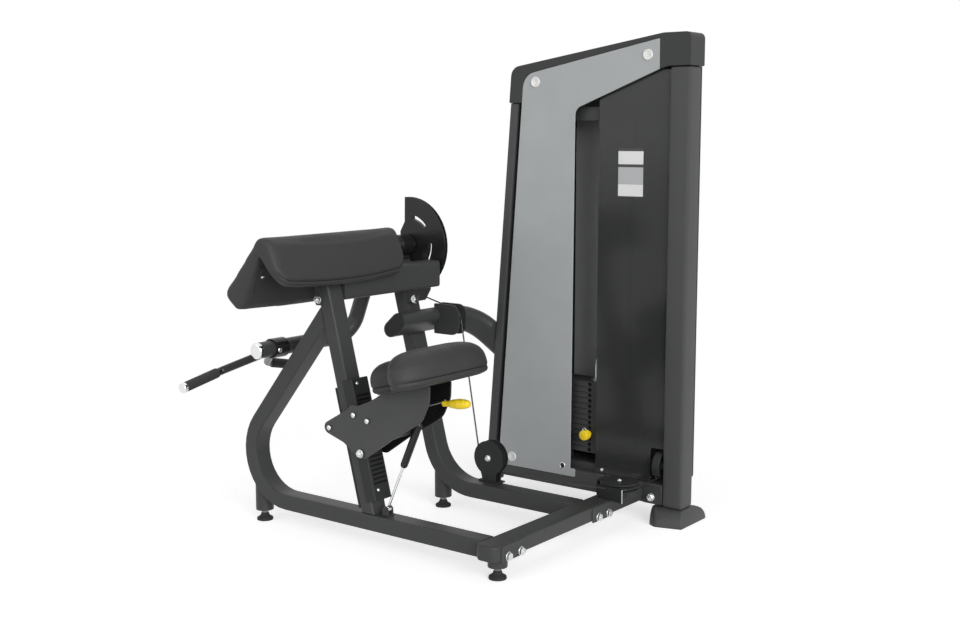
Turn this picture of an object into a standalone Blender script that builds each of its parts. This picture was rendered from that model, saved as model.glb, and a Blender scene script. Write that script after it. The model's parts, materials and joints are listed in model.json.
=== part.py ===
"""Preacher curl machine: a slanted seat and arm pad on a bent tube frame, a swinging
arm with a cam, and a cable that runs over pulleys to a weight stack in a tower.

Metres, +Z up. X runs from the front of the machine to its back, the user faces -X,
and the tower stands on the user's right at +Y. Sizes below are measured from the
cross bar (x = 0), the user's middle plane (y = 0) and the floor (z = 0); the root
empty then carries the whole machine to the middle of its own footprint.
"""
import math

import bmesh
import bpy
from mathutils import Vector

GAP = 0.0003            # left between pieces that touch
RUNNING = 0.0004        # radial clearance of a turning bore
LEAN = math.radians(14.5)   # posts lean back towards -X from the vertical

# Frame tube stock
TUBE_WIDTH = 0.062      # across, along Y
TUBE_DEPTH = 0.050      # in the plane of the bend
TUBE_EDGE = 0.006       # rounding of the tube's long edges
RAIL_BOTTOM = 0.057     # underside of the floor rails
RAIL_TOP = RAIL_BOTTOM + TUBE_DEPTH
RAIL_MIDDLE = RAIL_BOTTOM + TUBE_DEPTH / 2

# Cross bar along Y that joins the rails to the tower
BAR_FRONT = -0.025      # face that the rails butt on
BAR_WIDTH = 0.070
BAR_HEIGHT = 0.045
BAR_START = -0.062
BAR_CORNER = 0.022      # rounded plug at its free end

# Middle frame: bent spine tube and the slanted seat post
POST_DEPTH = 0.045
POST_FOOT = -0.4404     # centre line of the post where it meets the rail
POST_TOP = 0.790
HEAD_TOP = 1.508        # height of the whole machine
SPINE_BEND = -0.785     # centre of the bend
SPINE_RADIUS = 0.147
SPINE_SLOPE = math.radians(50.7)
SPINE_MEETS = 0.655     # height where the spine butts on the post

# Outer leg beside the tower, bent from one tube
LEG_Y = 0.457
LEG_FOOT = -0.5475      # its leaning line carried down to the rail's middle
LEG_RADIUS = 0.165
LEG_TOP = 0.795

# Upper beam between the seat post and the outer leg
BEAM_WIDTH = 0.060
BEAM_HEIGHT = 0.085
BEAM_TOP = 0.805
BEAM_FRONT = -0.635
BEAM_END = 0.475
BEAM_EDGE = 0.010
LUG_HEIGHT = 0.060
LUG_WIDTH = 0.050
LUG_UNDER = 0.020        # the beam rests on this much of the lug

# Pivot of the swing arm
PIVOT_X = -0.722
PIVOT_Z = 0.848
SHAFT_RADIUS = 0.0125
BEARING_RADIUS = 0.035
BEARING_START = 0.430
BEARING_END = 0.4855
BEARING_FIT = 0.0005
NECK_WIDTH = 0.046

# Cam plate on the end of the shaft
CAM_RADIUS = 0.156
CAM_PITCH = 0.147       # radius of the cable's centre line
CAM_Y = 0.498
CAM_THICK = 0.014
CAM_HUB = 0.030
CAM_LOW_ANGLE = math.radians(-106)
CAM_HIGH_ANGLE = math.radians(95)
CAM_SLOT_RADIUS = 0.093
CAM_SLOT_WIDTH = 0.013
CAM_SLOT_SPAN = math.radians(31)
CAM_SLOTS = (math.radians(-28), math.radians(43.5))

# Swing arm and the tube that carries the handle
ARM_Y = 0.335
ARM_HUB_RADIUS = 0.034
ARM_HUB_WIDTH = 0.070
ARM_ANGLE = math.radians(21.4)   # the arm hangs this far forward of straight down
ARM_LENGTH = 0.313
ARM_BEND = 0.070
ROLL_RADIUS = 0.025
ROLL_END = -0.076
ROLL_CAP = 0.014

# Curl handle, a wide V that swivels on the arm's tube
SLEEVE_RADIUS = 0.0305
SLEEVE_HALF = 0.026
BAR_RADIUS = 0.0125
GRIP_RADIUS = 0.0155
HANDLE_REACH = -0.145   # from the tube's axis to the bend, along X
HANDLE_DROP = -0.074
HANDLE_BEND_Y = 0.095
GRIP_END_Y = 0.252
GRIP_DROP = -0.106
GRIP_START = 0.12       # part of the straight grip length left bare
GRIP_CAP = 0.010
APEX_SHARE = 0.13       # the corner of the bar lies this far out along the reach

# Arm pad, an inverted V along Y
PAD_HALF = 0.276
PAD_RIDGE = (-0.603, 0.958)
PAD_ARM_FOOT = (-0.772, 0.755)
PAD_ARM_UNDER = (-0.710, 0.692)
PAD_INNER = (-0.628, 0.862)
PAD_CHEST_UNDER = (-0.564, 0.772)
PAD_CHEST_FOOT = (-0.525, 0.773)
PAD_BOW = 0.022         # the chest panel hangs this much lower at the middle
PAD_BRACKET_WIDTH = 0.050
PAD_BRACKET_LENGTH = 0.030
PAD_RELIEF = 0.002      # left between the pad and the beam that it hangs over

# Rack on the back of the seat post, and the wear strip on its front
RACK_LOW = 0.140
RACK_HIGH = 0.490
RACK_PROUD = 0.025
RACK_WRAP = 0.014
RACK_WALL = 0.004
RACK_SLOTS = 21
RACK_PITCH = 0.013
RACK_SLOT_HEIGHT = 0.0065
RACK_SLOT_WIDTH = 0.040
RACK_SLOT_DEPTH = 0.011
STRIP_LOW = 0.126
STRIP_HIGH = 0.474
STRIP_THICK = 0.013
STRIP_WIDTH = 0.050

# Seat carriage: two side plates with a block and a front roller between them
SIDE_Y = 0.044          # inner face of each side plate
SIDE_THICK = 0.006
ROLLER_HEIGHT = 0.352
ROLLER_RADIUS = 0.0245
ROLLER_PIN = 0.008
LATCH = (-0.423, 0.393)
BLOCK_FRONT = -0.405
BLOCK_BACK = -0.335
BLOCK_LOW = 0.318
BLOCK_RISE = 0.030      # its back end stands this much higher than its front
BLOCK_HEIGHT = 0.045
BOLT_RADIUS = 0.0085
BOLT_PROUD = 0.005
SIDE_BOLTS = ((-0.567, 0.352), (-0.470, 0.402), (-0.417, 0.391), (-0.444, 0.292))
SEAT_RAIL_FRONT = (-0.366, 0.476)
SEAT_RAIL_BACK = (-0.188, 0.522)

# Seat cushion, a short saddle that is widest at the back
SEAT_THICK = 0.104
SEAT_BACK = 0.172       # behind the middle of its mounting edge, along the slope
SEAT_FRONT = -0.040
SEAT_NOSE = -0.125
SEAT_HALF = 0.205
NOSE_HALF = 0.105
SEAT_SINK = 0.0005      # brings the cushion's rounded underside onto the side plates

# Release lever with its paddle
LEVER_BACK = (-0.200, 0.4635)
LEVER_ROD = 0.0045
PADDLE_LENGTH = 0.108
PADDLE_WIDTH = 0.030
PADDLE_THICK = 0.016
PADDLE_TILT = math.radians(8)
LEVER_EYE = 0.013
LEVER_EYE_HALF = 0.015
LATCH_PIN = 0.005

# Gas spring under the seat
SPRING_LOW = (-0.388, 0.124)
SPRING_ANGLE = math.radians(65.8)
SPRING_ROD = 0.004
SPRING_ROD_LENGTH = 0.205
SPRING_BODY = 0.011
SPRING_BODY_START = 0.150
SPRING_BODY_LENGTH = 0.150
SPRING_EYE = 0.009
SPRING_PIN = 0.004
CLEVIS_HALF = 0.008

# Levelling feet under short stubs
FOOT_DISC = 0.0255
FOOT_STEM = 0.006
STUB_BOTTOM = 0.034
STUB_RADIUS = 0.028
STUB_INTO = 0.010       # a stub runs this far into the tube above it
FRONT_FOOT = -0.905
MIDDLE_FOOT = 0.010
OUTER_FOOT = -0.550

# Flat oval tube between the outer leg and the tower
OVAL_LONG = 0.095
OVAL_SHORT = 0.050
OVAL_TILT = math.radians(42)
OVAL_X = -0.620
OVAL_Z = 0.610
OVAL_START = 0.303
OVAL_BEND = LEG_Y + 0.103
OVAL_END_Z = OVAL_Z - 0.102
OVAL_CAP = 0.004
ARCH_EARLY = (0.145, 0.38, 0.118)   # shares of the way to the tower in x, y, z
ARCH_LATE = (0.482, 0.72, 0.441)

# Cable and pulleys
CABLE_RADIUS = 0.0025
PULLEY_WIDTH = 0.018
PULLEY_LIP = 0.007      # rim beyond the cable's centre line
AXLE_RADIUS = 0.006
UPPER_PULLEY = (-0.538, 0.500, 0.618)
UPPER_PITCH = 0.029
FLOOR_PULLEY = (-0.372, 0.480, 0.185)
FLOOR_PITCH = 0.045
CORNER_PULLEY = (0.046, 0.577)
CORNER_PITCH = 0.050
TOWER_PULLEY_Y = 0.752
TOWER_PITCH = 0.036
TOP_PULLEY_Z = HEAD_TOP - 0.170
TOP_PITCH = 0.036
CHEEK_THICK = 0.004
CHEEK_GAP = 0.003       # between a pulley's face and its cheek
COVER_LIP = 0.002       # a round cover reaches this far past its pulley's rim
HOUSING_THICK = 0.006
HOUSING_GAP = 0.006

# Tower
TOWER_FRONT = 0.720
TOWER_DEPTH = 0.075
TOWER_BACK = TOWER_FRONT + TOWER_DEPTH
TOWER_MIDDLE = TOWER_FRONT + TOWER_DEPTH / 2
COLUMN_FRONT = 0.113
COLUMN_WIDTH = 0.069
COLUMN_EDGE = 0.010
TOWER_RAIL_TOP = 0.120
SIDE_POST_FOOT = -0.571  # outer edge of the leaning side post at the rails' top
SIDE_POST_LEAN = math.tan(math.radians(4.6))
SIDE_POST_WIDTH = 0.032
HEAD_FRONT = 0.7155
HEAD_BACK = 0.802
HEAD_LEFT_BOTTOM = HEAD_TOP - 0.200
HEAD_LEFT_TOP = HEAD_TOP - 0.086
HEAD_RIGHT_BOTTOM = HEAD_TOP - 0.099
HEAD_RIGHT = 0.187
HEAD_FLAT = 0.092       # where the sloping top turns level
HEAD_MARGIN = 0.002     # the cap stands this much proud of the posts
HEAD_SLOPE_ROUND = 0.100
HEAD_CORNER = 0.034
PANEL_THICK = 0.004
PANEL_LEFT_FOOT = -0.5165   # the panel's outer edge at its bottom
PANEL_LEAN = math.tan(math.radians(4.3))
PANEL_BOTTOM = 0.097
PANEL_INNER_FOOT = -0.226
PANEL_INNER_TOP = (-0.220, HEAD_TOP - 0.222)
PANEL_ARM_LOW = (0.081, HEAD_TOP - 0.107)
PANEL_ARM_HIGH = (0.080, HEAD_TOP - 0.016)
PANEL_LEFT_TOP = HEAD_TOP - 0.111
PANEL_CORNER = 0.052
PANEL_TAB = 0.019       # small tab at the foot of the inner edge
PANEL_TAB_TOP = 0.124
SHIELD_LEFT = -0.140
SHIELD_Y = 0.735
SHIELD_THICK = 0.004
SHIELD_TOP = PANEL_ARM_LOW[1] - GAP
SHIELD_NOTCH_WIDTH = 0.049
SHIELD_NOTCH_TOP = 0.232
BASE_HEIGHT = 0.050
BASE_FRONT = 0.658
BASE_BACK = 0.868
BASE_LEFT = 0.094
BASE_RIGHT = 0.200
BASE_TAPER_X = 0.86
BASE_TAPER_Y = 0.62
COVER_BACK = 0.862
COVER_THICK = 0.0025
COVER_TOP = HEAD_TOP - 0.088
COVER_INSET = 0.012     # from the side post's outer face
COVER_CLEAR = 0.001     # between the cover and the stack's base

# Weight stack and its guide rods
STACK_X = -0.170
STACK_BASE_WIDTH = 0.270
STACK_BASE_HEIGHT = 0.026
PLATE_WIDTH = 0.300
PLATE_DEPTH = 0.092
PLATE_PITCH = 0.0180
PLATE_THICK = 0.0172
PLATES_RESTING = 3
PLATES_LIFTED = 10
ROD_RADIUS = 0.010
ROD_SPREAD = 0.115
ROD_CLEAR = 0.0012
STEM_RADIUS = 0.011
STEM_LENGTH = 0.070
BUFFER_TOP = 0.180
TOP_BEAM_BOTTOM = HEAD_TOP - 0.258
TOP_BEAM_HEIGHT = 0.042
TOP_BEAM_FRONT = 0.750
TOP_BEAM_BACK = 0.812
CABLE_HOLE = 0.009
PIN_KNOB = 0.0195
PIN_ROD = 0.005
PIN_DEPTH = 0.050
PIN_STICK_OUT = 0.036

SIDE = (math.pi / 2, 0.0, 0.0)               # outline seen from -Y, drawn in X and Z
FACING = (math.pi / 2, 0.0, math.pi / 2)     # outline seen from +X, drawn in Y and Z
LEVEL = (0.0, 0.0, 0.0)                      # outline seen from above


# Scene helpers

def clear_scene():
    for obj in list(bpy.data.objects):
        bpy.data.objects.remove(obj, do_unlink=True)


def new_collection(name):
    collection = bpy.data.collections.new(name)
    bpy.context.scene.collection.children.link(collection)
    return collection


clear_scene()
PARTS = new_collection("preacher_curl_machine")
CUTTERS = new_collection("cutters")


def paint(name, colour, roughness, metallic=0.0):
    material = bpy.data.materials.new(name)
    material.use_nodes = True
    shader = material.node_tree.nodes["Principled BSDF"]
    shader.inputs["Base Color"].default_value = (*colour, 1.0)
    shader.inputs["Roughness"].default_value = roughness
    shader.inputs["Metallic"].default_value = metallic
    return material


FINISHES = {
    "frame": ((0.040, 0.041, 0.043), 0.42, 0.0),
    "pad": ((0.028, 0.029, 0.030), 0.55, 0.0),
    "black_plastic": ((0.012, 0.012, 0.013), 0.45, 0.0),
    "gloss_black": ((0.010, 0.010, 0.011), 0.12, 0.0),
    "rubber": ((0.020, 0.020, 0.021), 0.75, 0.0),
    "plate_grey": ((0.090, 0.090, 0.094), 0.50, 0.2),
    "chrome": ((0.780, 0.780, 0.800), 0.12, 1.0),
    "steel": ((0.450, 0.450, 0.460), 0.35, 1.0),
    "panel_grey": ((0.260, 0.275, 0.285), 0.40, 0.1),
    "smoked": ((0.015, 0.015, 0.016), 0.10, 0.0),
    "yellow": ((0.850, 0.640, 0.010), 0.40, 0.0),
    "cast_iron": ((0.020, 0.020, 0.020), 0.60, 0.4),
}


def empty(name, place, parent=None):
    """A joint axis or other frame that pieces hang from, at a place on the machine."""
    obj = bpy.data.objects.new(name, None)
    PARTS.objects.link(obj)
    put(obj, place, parent)
    return obj


def place_of(obj):
    """Where an unturned parent stands on the machine."""
    place = Vector((0.0, 0.0, 0.0))
    while obj is not None:
        place += obj.location
        obj = obj.parent
    return place


def put(obj, place, parent=None):
    obj.parent = parent
    obj.location = Vector(place) - place_of(parent)
    return obj


def add(name, data, finish, parent, place=(0, 0, 0), turn=(0, 0, 0)):
    obj = bpy.data.objects.new(name, data)
    colour, roughness, metallic = FINISHES[finish]
    data.materials.append(paint(name, colour, roughness, metallic))
    PARTS.objects.link(obj)
    put(obj, place, parent)
    obj.rotation_euler = turn
    return obj


def mesh_from(bm, name):
    bmesh.ops.recalc_face_normals(bm, faces=bm.faces[:])
    mesh = bpy.data.meshes.new(name)
    bm.to_mesh(mesh)
    bm.free()
    return mesh


def smooth(obj, angle=math.radians(35)):
    obj.data.shade_smooth()
    obj.data.set_sharp_from_angle(angle=angle)
    return obj


def as_cutter(obj):
    """Moves a shape to the cutters, so that it only cuts or fills."""
    PARTS.objects.unlink(obj)
    CUTTERS.objects.link(obj)
    obj.hide_render = True
    obj.display_type = "WIRE"
    return obj


def boolean(obj, other, operation):
    modifier = obj.modifiers.new(operation.lower(), "BOOLEAN")
    modifier.operation = operation
    modifier.solver = "EXACT"
    modifier.object = as_cutter(other)
    return obj


def cut(obj, *cutters):
    for cutter in cutters:
        boolean(obj, cutter, "DIFFERENCE")
    return obj


def join(obj, *others):
    for other in others:
        boolean(obj, other, "UNION")
    return obj


def bevel(obj, width, segments=2):
    modifier = obj.modifiers.new("edges", "BEVEL")
    modifier.width = width
    modifier.segments = segments
    modifier.limit_method = "ANGLE"
    modifier.angle_limit = math.radians(40)
    return obj


def subdivide(obj, levels=1):
    modifier = obj.modifiers.new("soft", "SUBSURF")
    modifier.levels = levels
    modifier.render_levels = levels
    return obj


# Outline helpers, in the two axes of a flat drawing

def arc(centre, radius, start, end, steps):
    points = []
    for step in range(steps + 1):
        angle = start + (end - start) * step / steps
        points.append(Vector((centre[0] + radius * math.cos(angle),
                              centre[1] + radius * math.sin(angle))))
    return points


def fillet(before, corner, after, radius, steps):
    """Points of the arc that rounds one corner."""
    inward = (corner - before).normalized()
    outward = (after - corner).normalized()
    turn = math.atan2(inward.cross(outward), inward.dot(outward))
    if radius <= 0.0 or abs(turn) < 0.001:
        return [corner]
    side = math.copysign(1.0, turn)
    start = corner - inward * radius * math.tan(abs(turn) / 2)
    centre = start + Vector((-inward.y, inward.x)) * radius * side
    first = math.atan2(start.y - centre.y, start.x - centre.x)
    return arc(centre, radius, first, first + turn, steps)


def rounded(corners, radii, steps=4):
    """A closed outline whose corners are rounded by the radii."""
    corners = [Vector(corner) for corner in corners]
    if not isinstance(radii, (list, tuple)):
        radii = [radii] * len(corners)
    points = []
    for index, corner in enumerate(corners):
        after = corners[(index + 1) % len(corners)]
        points += fillet(corners[index - 1], corner, after, radii[index], steps)
    return points


def side_line(corners, radii, shift, start_cut, end_cut, steps):
    """The line `shift` to the left of a bent centre line."""
    ways = [(b - a).normalized() for a, b in zip(corners, corners[1:])]
    lefts = [Vector((-way.y, way.x)) for way in ways]
    moved = [corners[0] + start_cut * (shift / start_cut.dot(lefts[0]))]
    for first, second, corner in zip(lefts, lefts[1:], corners[1:]):
        moved.append(corner + (first + second) * (shift / (1 + first.dot(second))))
    moved.append(corners[-1] + end_cut * (shift / end_cut.dot(lefts[-1])))
    points = [moved[0]]
    for index in range(1, len(moved) - 1):
        side = math.copysign(1.0, ways[index - 1].cross(ways[index]))
        radius = radii[index - 1] - side * shift
        points += fillet(moved[index - 1], moved[index], moved[index + 1], radius, steps)
    return points + [moved[-1]]


def bar_outline(corners, depth, radii=(), start_cut=None, end_cut=None, steps=10):
    """Outline of a flat sided bar that follows a bent centre line."""
    corners = [Vector(corner) for corner in corners]
    first = (corners[1] - corners[0]).normalized()
    last = (corners[-1] - corners[-2]).normalized()
    start_cut = Vector(start_cut) if start_cut else Vector((-first.y, first.x))
    end_cut = Vector(end_cut) if end_cut else Vector((-last.y, last.x))
    left = side_line(corners, radii, depth / 2, start_cut, end_cut, steps)
    right = side_line(corners, radii, -depth / 2, start_cut, end_cut, steps)
    return left + right[::-1]


# Shape helpers

def flat(name, outlines, thickness, finish, parent, plane, middle, edge=0.0):
    """A flat outline with a thickness. The first outline is the edge, others are holes.
    `middle` is the place of the mid plane along the plane's own normal."""
    curve = bpy.data.curves.new(name, "CURVE")
    curve.dimensions = "2D"
    curve.fill_mode = "BOTH"
    curve.extrude = thickness / 2 - edge
    curve.bevel_depth = edge
    curve.offset = -edge
    curve.bevel_resolution = 1
    for outline in outlines:
        spline = curve.splines.new("POLY")
        spline.points.add(len(outline) - 1)
        for point, place in zip(spline.points, outline):
            point.co = (place[0], place[1], 0.0, 1.0)
        spline.use_cyclic_u = True
    places = {SIDE: (0, middle, 0), FACING: (middle, 0, 0), LEVEL: (0, 0, middle)}
    obj = add(name, curve, finish, parent, (0, 0, 0), plane)
    obj.location = Vector(places[plane]) - place_of(parent)
    return obj


def as_mesh(obj):
    """Turns a curve object into a mesh object, so that it can be cut or joined."""
    bpy.context.view_layer.update()
    evaluated = obj.evaluated_get(bpy.context.evaluated_depsgraph_get())
    bm = bmesh.new()
    bm.from_mesh(bpy.data.meshes.new_from_object(evaluated))
    bmesh.ops.remove_doubles(bm, verts=bm.verts[:], dist=0.00001)
    mesh = mesh_from(bm, obj.name)
    mesh.materials.clear()
    mesh.materials.append(obj.data.materials[0])
    name = obj.name
    parent = obj.parent
    location = obj.location.copy()
    turn = obj.rotation_euler.copy()
    bpy.data.objects.remove(obj, do_unlink=True)
    solid = bpy.data.objects.new(name, mesh)
    PARTS.objects.link(solid)
    solid.parent = parent
    solid.location = location
    solid.rotation_euler = turn
    return solid


def flat_mesh(*args, **options):
    return as_mesh(flat(*args, **options))


def box(name, low, high, finish, parent, edge=0.0):
    """A box between two corners on the machine, with its long edges rounded."""
    low = Vector(low)
    high = Vector(high)
    bm = bmesh.new()
    bmesh.ops.create_cube(bm, size=1.0)
    bmesh.ops.scale(bm, vec=high - low, verts=bm.verts[:])
    obj = add(name, mesh_from(bm, name), finish, parent, (low + high) / 2)
    if edge > 0.0:
        bevel(obj, edge)
    return obj


def slanted_box(name, size, finish, parent, place, angle=LEAN):
    """A box turned about Y, so that its up axis leans back by the angle."""
    bm = bmesh.new()
    bmesh.ops.create_cube(bm, size=1.0)
    bmesh.ops.scale(bm, vec=size, verts=bm.verts[:])
    return add(name, mesh_from(bm, name), finish, parent, place, (0, -angle, 0))


TURNS = {"X": (0, math.pi / 2, 0), "Y": (-math.pi / 2, 0, 0), "Z": (0, 0, 0)}


def rod(name, radius, start, length, axis, finish, parent, sides=20):
    """A round bar that starts at a place and runs along +X, +Y or +Z."""
    bm = bmesh.new()
    bmesh.ops.create_cone(bm, cap_ends=True, segments=sides, radius1=radius,
                          radius2=radius, depth=length)
    bmesh.ops.translate(bm, vec=(0, 0, length / 2), verts=bm.verts[:])
    obj = add(name, mesh_from(bm, name), finish, parent, start, TURNS[axis])
    return smooth(obj)


def leaning_rod(name, radius, start, length, angle, finish, parent, sides=16):
    """A round bar in the middle plane that rises at an angle from +X."""
    obj = rod(name, radius, start, length, "Z", finish, parent, sides)
    obj.rotation_euler = (0, math.pi / 2 - angle, 0)
    return obj


def turned(name, profile, axis, place, finish, parent, steps=24, closed=False):
    """A turned piece. The profile lists (radius, height) down its outer side."""
    bm = bmesh.new()
    points = [bm.verts.new((radius, 0.0, height)) for radius, height in profile]
    pairs = list(zip(points, points[1:]))
    if closed:
        pairs.append((points[-1], points[0]))
    for first, second in pairs:
        bm.edges.new((first, second))
    mesh = bpy.data.meshes.new(name)
    bm.to_mesh(mesh)
    bm.free()
    obj = add(name, mesh, finish, parent, place, TURNS[axis])
    modifier = obj.modifiers.new("turn", "SCREW")
    modifier.steps = steps
    modifier.render_steps = steps
    modifier.use_merge_vertices = True
    modifier.merge_threshold = 0.00005
    modifier.use_smooth_shade = True
    return obj


def tube(name, points, radius, finish, parent, place=(0, 0, 0), sides=3):
    """A round tube along points on the machine, with closed ends."""
    curve = bpy.data.curves.new(name, "CURVE")
    curve.dimensions = "3D"
    curve.bevel_depth = radius
    curve.bevel_resolution = sides
    curve.use_fill_caps = True
    spline = curve.splines.new("POLY")
    spline.points.add(len(points) - 1)
    for point, at in zip(spline.points, points):
        offset = Vector(at) - Vector(place)
        point.co = (*offset, 1.0)
    spline.use_smooth = True
    return add(name, curve, finish, parent, place)


def bent_line(corners, radius, steps=6):
    """Points of a line in space whose corners are rounded."""
    corners = [Vector(corner) for corner in corners]
    points = [corners[0]]
    for before, corner, after in zip(corners, corners[1:], corners[2:]):
        inward = (corner - before).normalized()
        outward = (after - corner).normalized()
        turn = inward.angle(outward)
        start = corner - inward * radius * math.tan(turn / 2)
        normal = (outward - inward * inward.dot(outward)).normalized()
        for step in range(steps + 1):
            angle = turn * step / steps
            points.append(start + inward * radius * math.sin(angle)
                          + normal * radius * (1 - math.cos(angle)))
    return points + [corners[-1]]


def post_x(z):
    """Centre line of the seat post at a height."""
    return POST_FOOT - math.tan(LEAN) * (z - RAIL_TOP)


def leg_x(z):
    """Centre line of the outer leg at a height."""
    return LEG_FOOT - math.tan(LEAN) * (z - RAIL_MIDDLE)


def side_post_x(z):
    """Outer edge of the tower's leaning side post at a height."""
    return SIDE_POST_FOOT + SIDE_POST_LEAN * (z - RAIL_TOP)


def panel_x(z):
    """Outer edge of the front panel at a height."""
    return PANEL_LEFT_FOOT + PANEL_LEAN * (z - PANEL_BOTTOM)


def tower_foot_x():
    return side_post_x(RAIL_BOTTOM) + SIDE_POST_WIDTH / 2


UP_POST = Vector((-math.sin(LEAN), 0.0, math.cos(LEAN)))
OUT_POST = Vector((math.cos(LEAN), 0.0, math.sin(LEAN)))


def on_post(height, out, across=0.0):
    """A place at a height on the post's centre line, moved out square to it."""
    return Vector((post_x(height), across, height)) + OUT_POST * out


# Middle frame

def spine_outline(depth):
    turn = math.pi - SPINE_SLOPE
    corner_x = SPINE_BEND - SPINE_RADIUS * math.tan(turn / 2)
    run = (SPINE_MEETS - RAIL_MIDDLE) / math.tan(SPINE_SLOPE)
    face = POST_DEPTH / 2 / math.cos(LEAN) + GAP
    meets = Vector((post_x(SPINE_MEETS) - face, SPINE_MEETS))
    along = Vector((math.cos(SPINE_SLOPE), math.sin(SPINE_SLOPE)))
    on_line = Vector((corner_x + run, SPINE_MEETS))
    post_way = Vector((-math.sin(LEAN), math.cos(LEAN)))
    reach = (meets - on_line).cross(post_way) / along.cross(post_way)
    corners = (on_line + along * reach, (corner_x, RAIL_MIDDLE), (BAR_FRONT - GAP, RAIL_MIDDLE))
    return bar_outline(corners, depth, (SPINE_RADIUS,), start_cut=post_way, steps=14)


def stub(name, x, y, top, root):
    """Short round stub that a levelling foot screws into."""
    return rod(name, STUB_RADIUS, (x, y, STUB_BOTTOM), top - STUB_BOTTOM, "Z", "frame", root, 18)


def spine_tube(root):
    """One tube from the post, round the bend at the front and back along the floor."""
    spine = flat_mesh("spine_tube", [spine_outline(TUBE_DEPTH)], TUBE_WIDTH, "frame", root,
                      SIDE, 0.0, TUBE_EDGE)
    return join(spine, stub("stub", FRONT_FOOT, 0.0, RAIL_TOP + 0.012, root))


def seat_post(root):
    foot = RAIL_TOP + GAP
    corners = ((post_x(foot), foot), (post_x(POST_TOP), POST_TOP))
    outline = bar_outline(corners, POST_DEPTH, start_cut=(1.0, 0.0))
    return flat("seat_post", [outline], TUBE_WIDTH, "frame", root, SIDE, 0.0, TUBE_EDGE)


def outer_leg(root):
    """Leg beside the tower, with the lug that carries the upper beam's outer end."""
    corners = ((leg_x(LEG_TOP), LEG_TOP), (LEG_FOOT, RAIL_MIDDLE),
               (BAR_FRONT - GAP, RAIL_MIDDLE))
    outline = bar_outline(corners, TUBE_DEPTH, (LEG_RADIUS,), steps=12)
    leg = flat_mesh("outer_leg", [outline], TUBE_WIDTH, "frame", root, SIDE, LEG_Y, TUBE_EDGE)
    high = BEAM_TOP - BEAM_HEIGHT - GAP
    low = high - LUG_HEIGHT
    back = BEAM_FRONT + LUG_UNDER
    corners = ((leg_x(low), low), (back - 0.022, low + 0.012), (back, high - 0.012),
               (back, high), (leg_x(high), high))
    lug = flat_mesh("lug", [rounded(corners, (0.0, 0.010, 0.006, 0.0, 0.0), 3)], LUG_WIDTH,
                    "frame", root, SIDE, LEG_Y - 0.004)
    near = LEG_Y - 0.004 - LUG_WIDTH / 2
    head = rod("head", BOLT_RADIUS, (BEAM_FRONT + 0.005, near - 0.007, high - 0.032),
               0.009, "Y", "steel", root, 12)
    return join(leg, lug, head, stub("stub", OUTER_FOOT, LEG_Y, RAIL_TOP + 0.010, root))


def cross_bar(root):
    back = BAR_FRONT + BAR_WIDTH
    corners = ((BAR_FRONT, BAR_START), (back, BAR_START),
               (back, TOWER_FRONT - GAP), (BAR_FRONT, TOWER_FRONT - GAP))
    outline = rounded(corners, (BAR_CORNER, BAR_CORNER, 0.0, 0.0), 5)
    middle = RAIL_TOP - BAR_HEIGHT / 2
    bar = flat_mesh("cross_bar", [outline], BAR_HEIGHT, "frame", root, LEVEL, middle, TUBE_EDGE)
    return join(bar, stub("stub", MIDDLE_FOOT, 0.0, middle, root))


def upper_beam(root):
    start = TUBE_WIDTH / 2 + GAP
    back = BEAM_FRONT + BEAM_WIDTH
    low = BEAM_TOP - BEAM_HEIGHT
    corners = ((BEAM_FRONT, low), (back, low), (back, BEAM_TOP), (BEAM_FRONT, BEAM_TOP))
    outline = rounded(corners, BEAM_EDGE, 3)
    middle = (start + BEAM_END) / 2
    return flat("upper_beam", [outline], BEAM_END - start, "frame", root, SIDE, middle)


def levelling_feet(root):
    profile = ((0.0, STUB_BOTTOM - GAP), (FOOT_STEM, STUB_BOTTOM - GAP), (FOOT_STEM, 0.024),
               (0.010, 0.021), (FOOT_DISC * 0.86, 0.009), (FOOT_DISC, 0.006),
               (FOOT_DISC, 0.0), (0.0, 0.0))
    places = (("front", FRONT_FOOT, 0.0), ("middle", MIDDLE_FOOT, 0.0),
              ("outer", OUTER_FOOT, LEG_Y), ("tower", tower_foot_x(), TOWER_MIDDLE))
    for name, x, y in places:
        turned("levelling_foot_" + name, profile, "Z", (x, y, 0.0), "rubber", root, 18)


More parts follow.
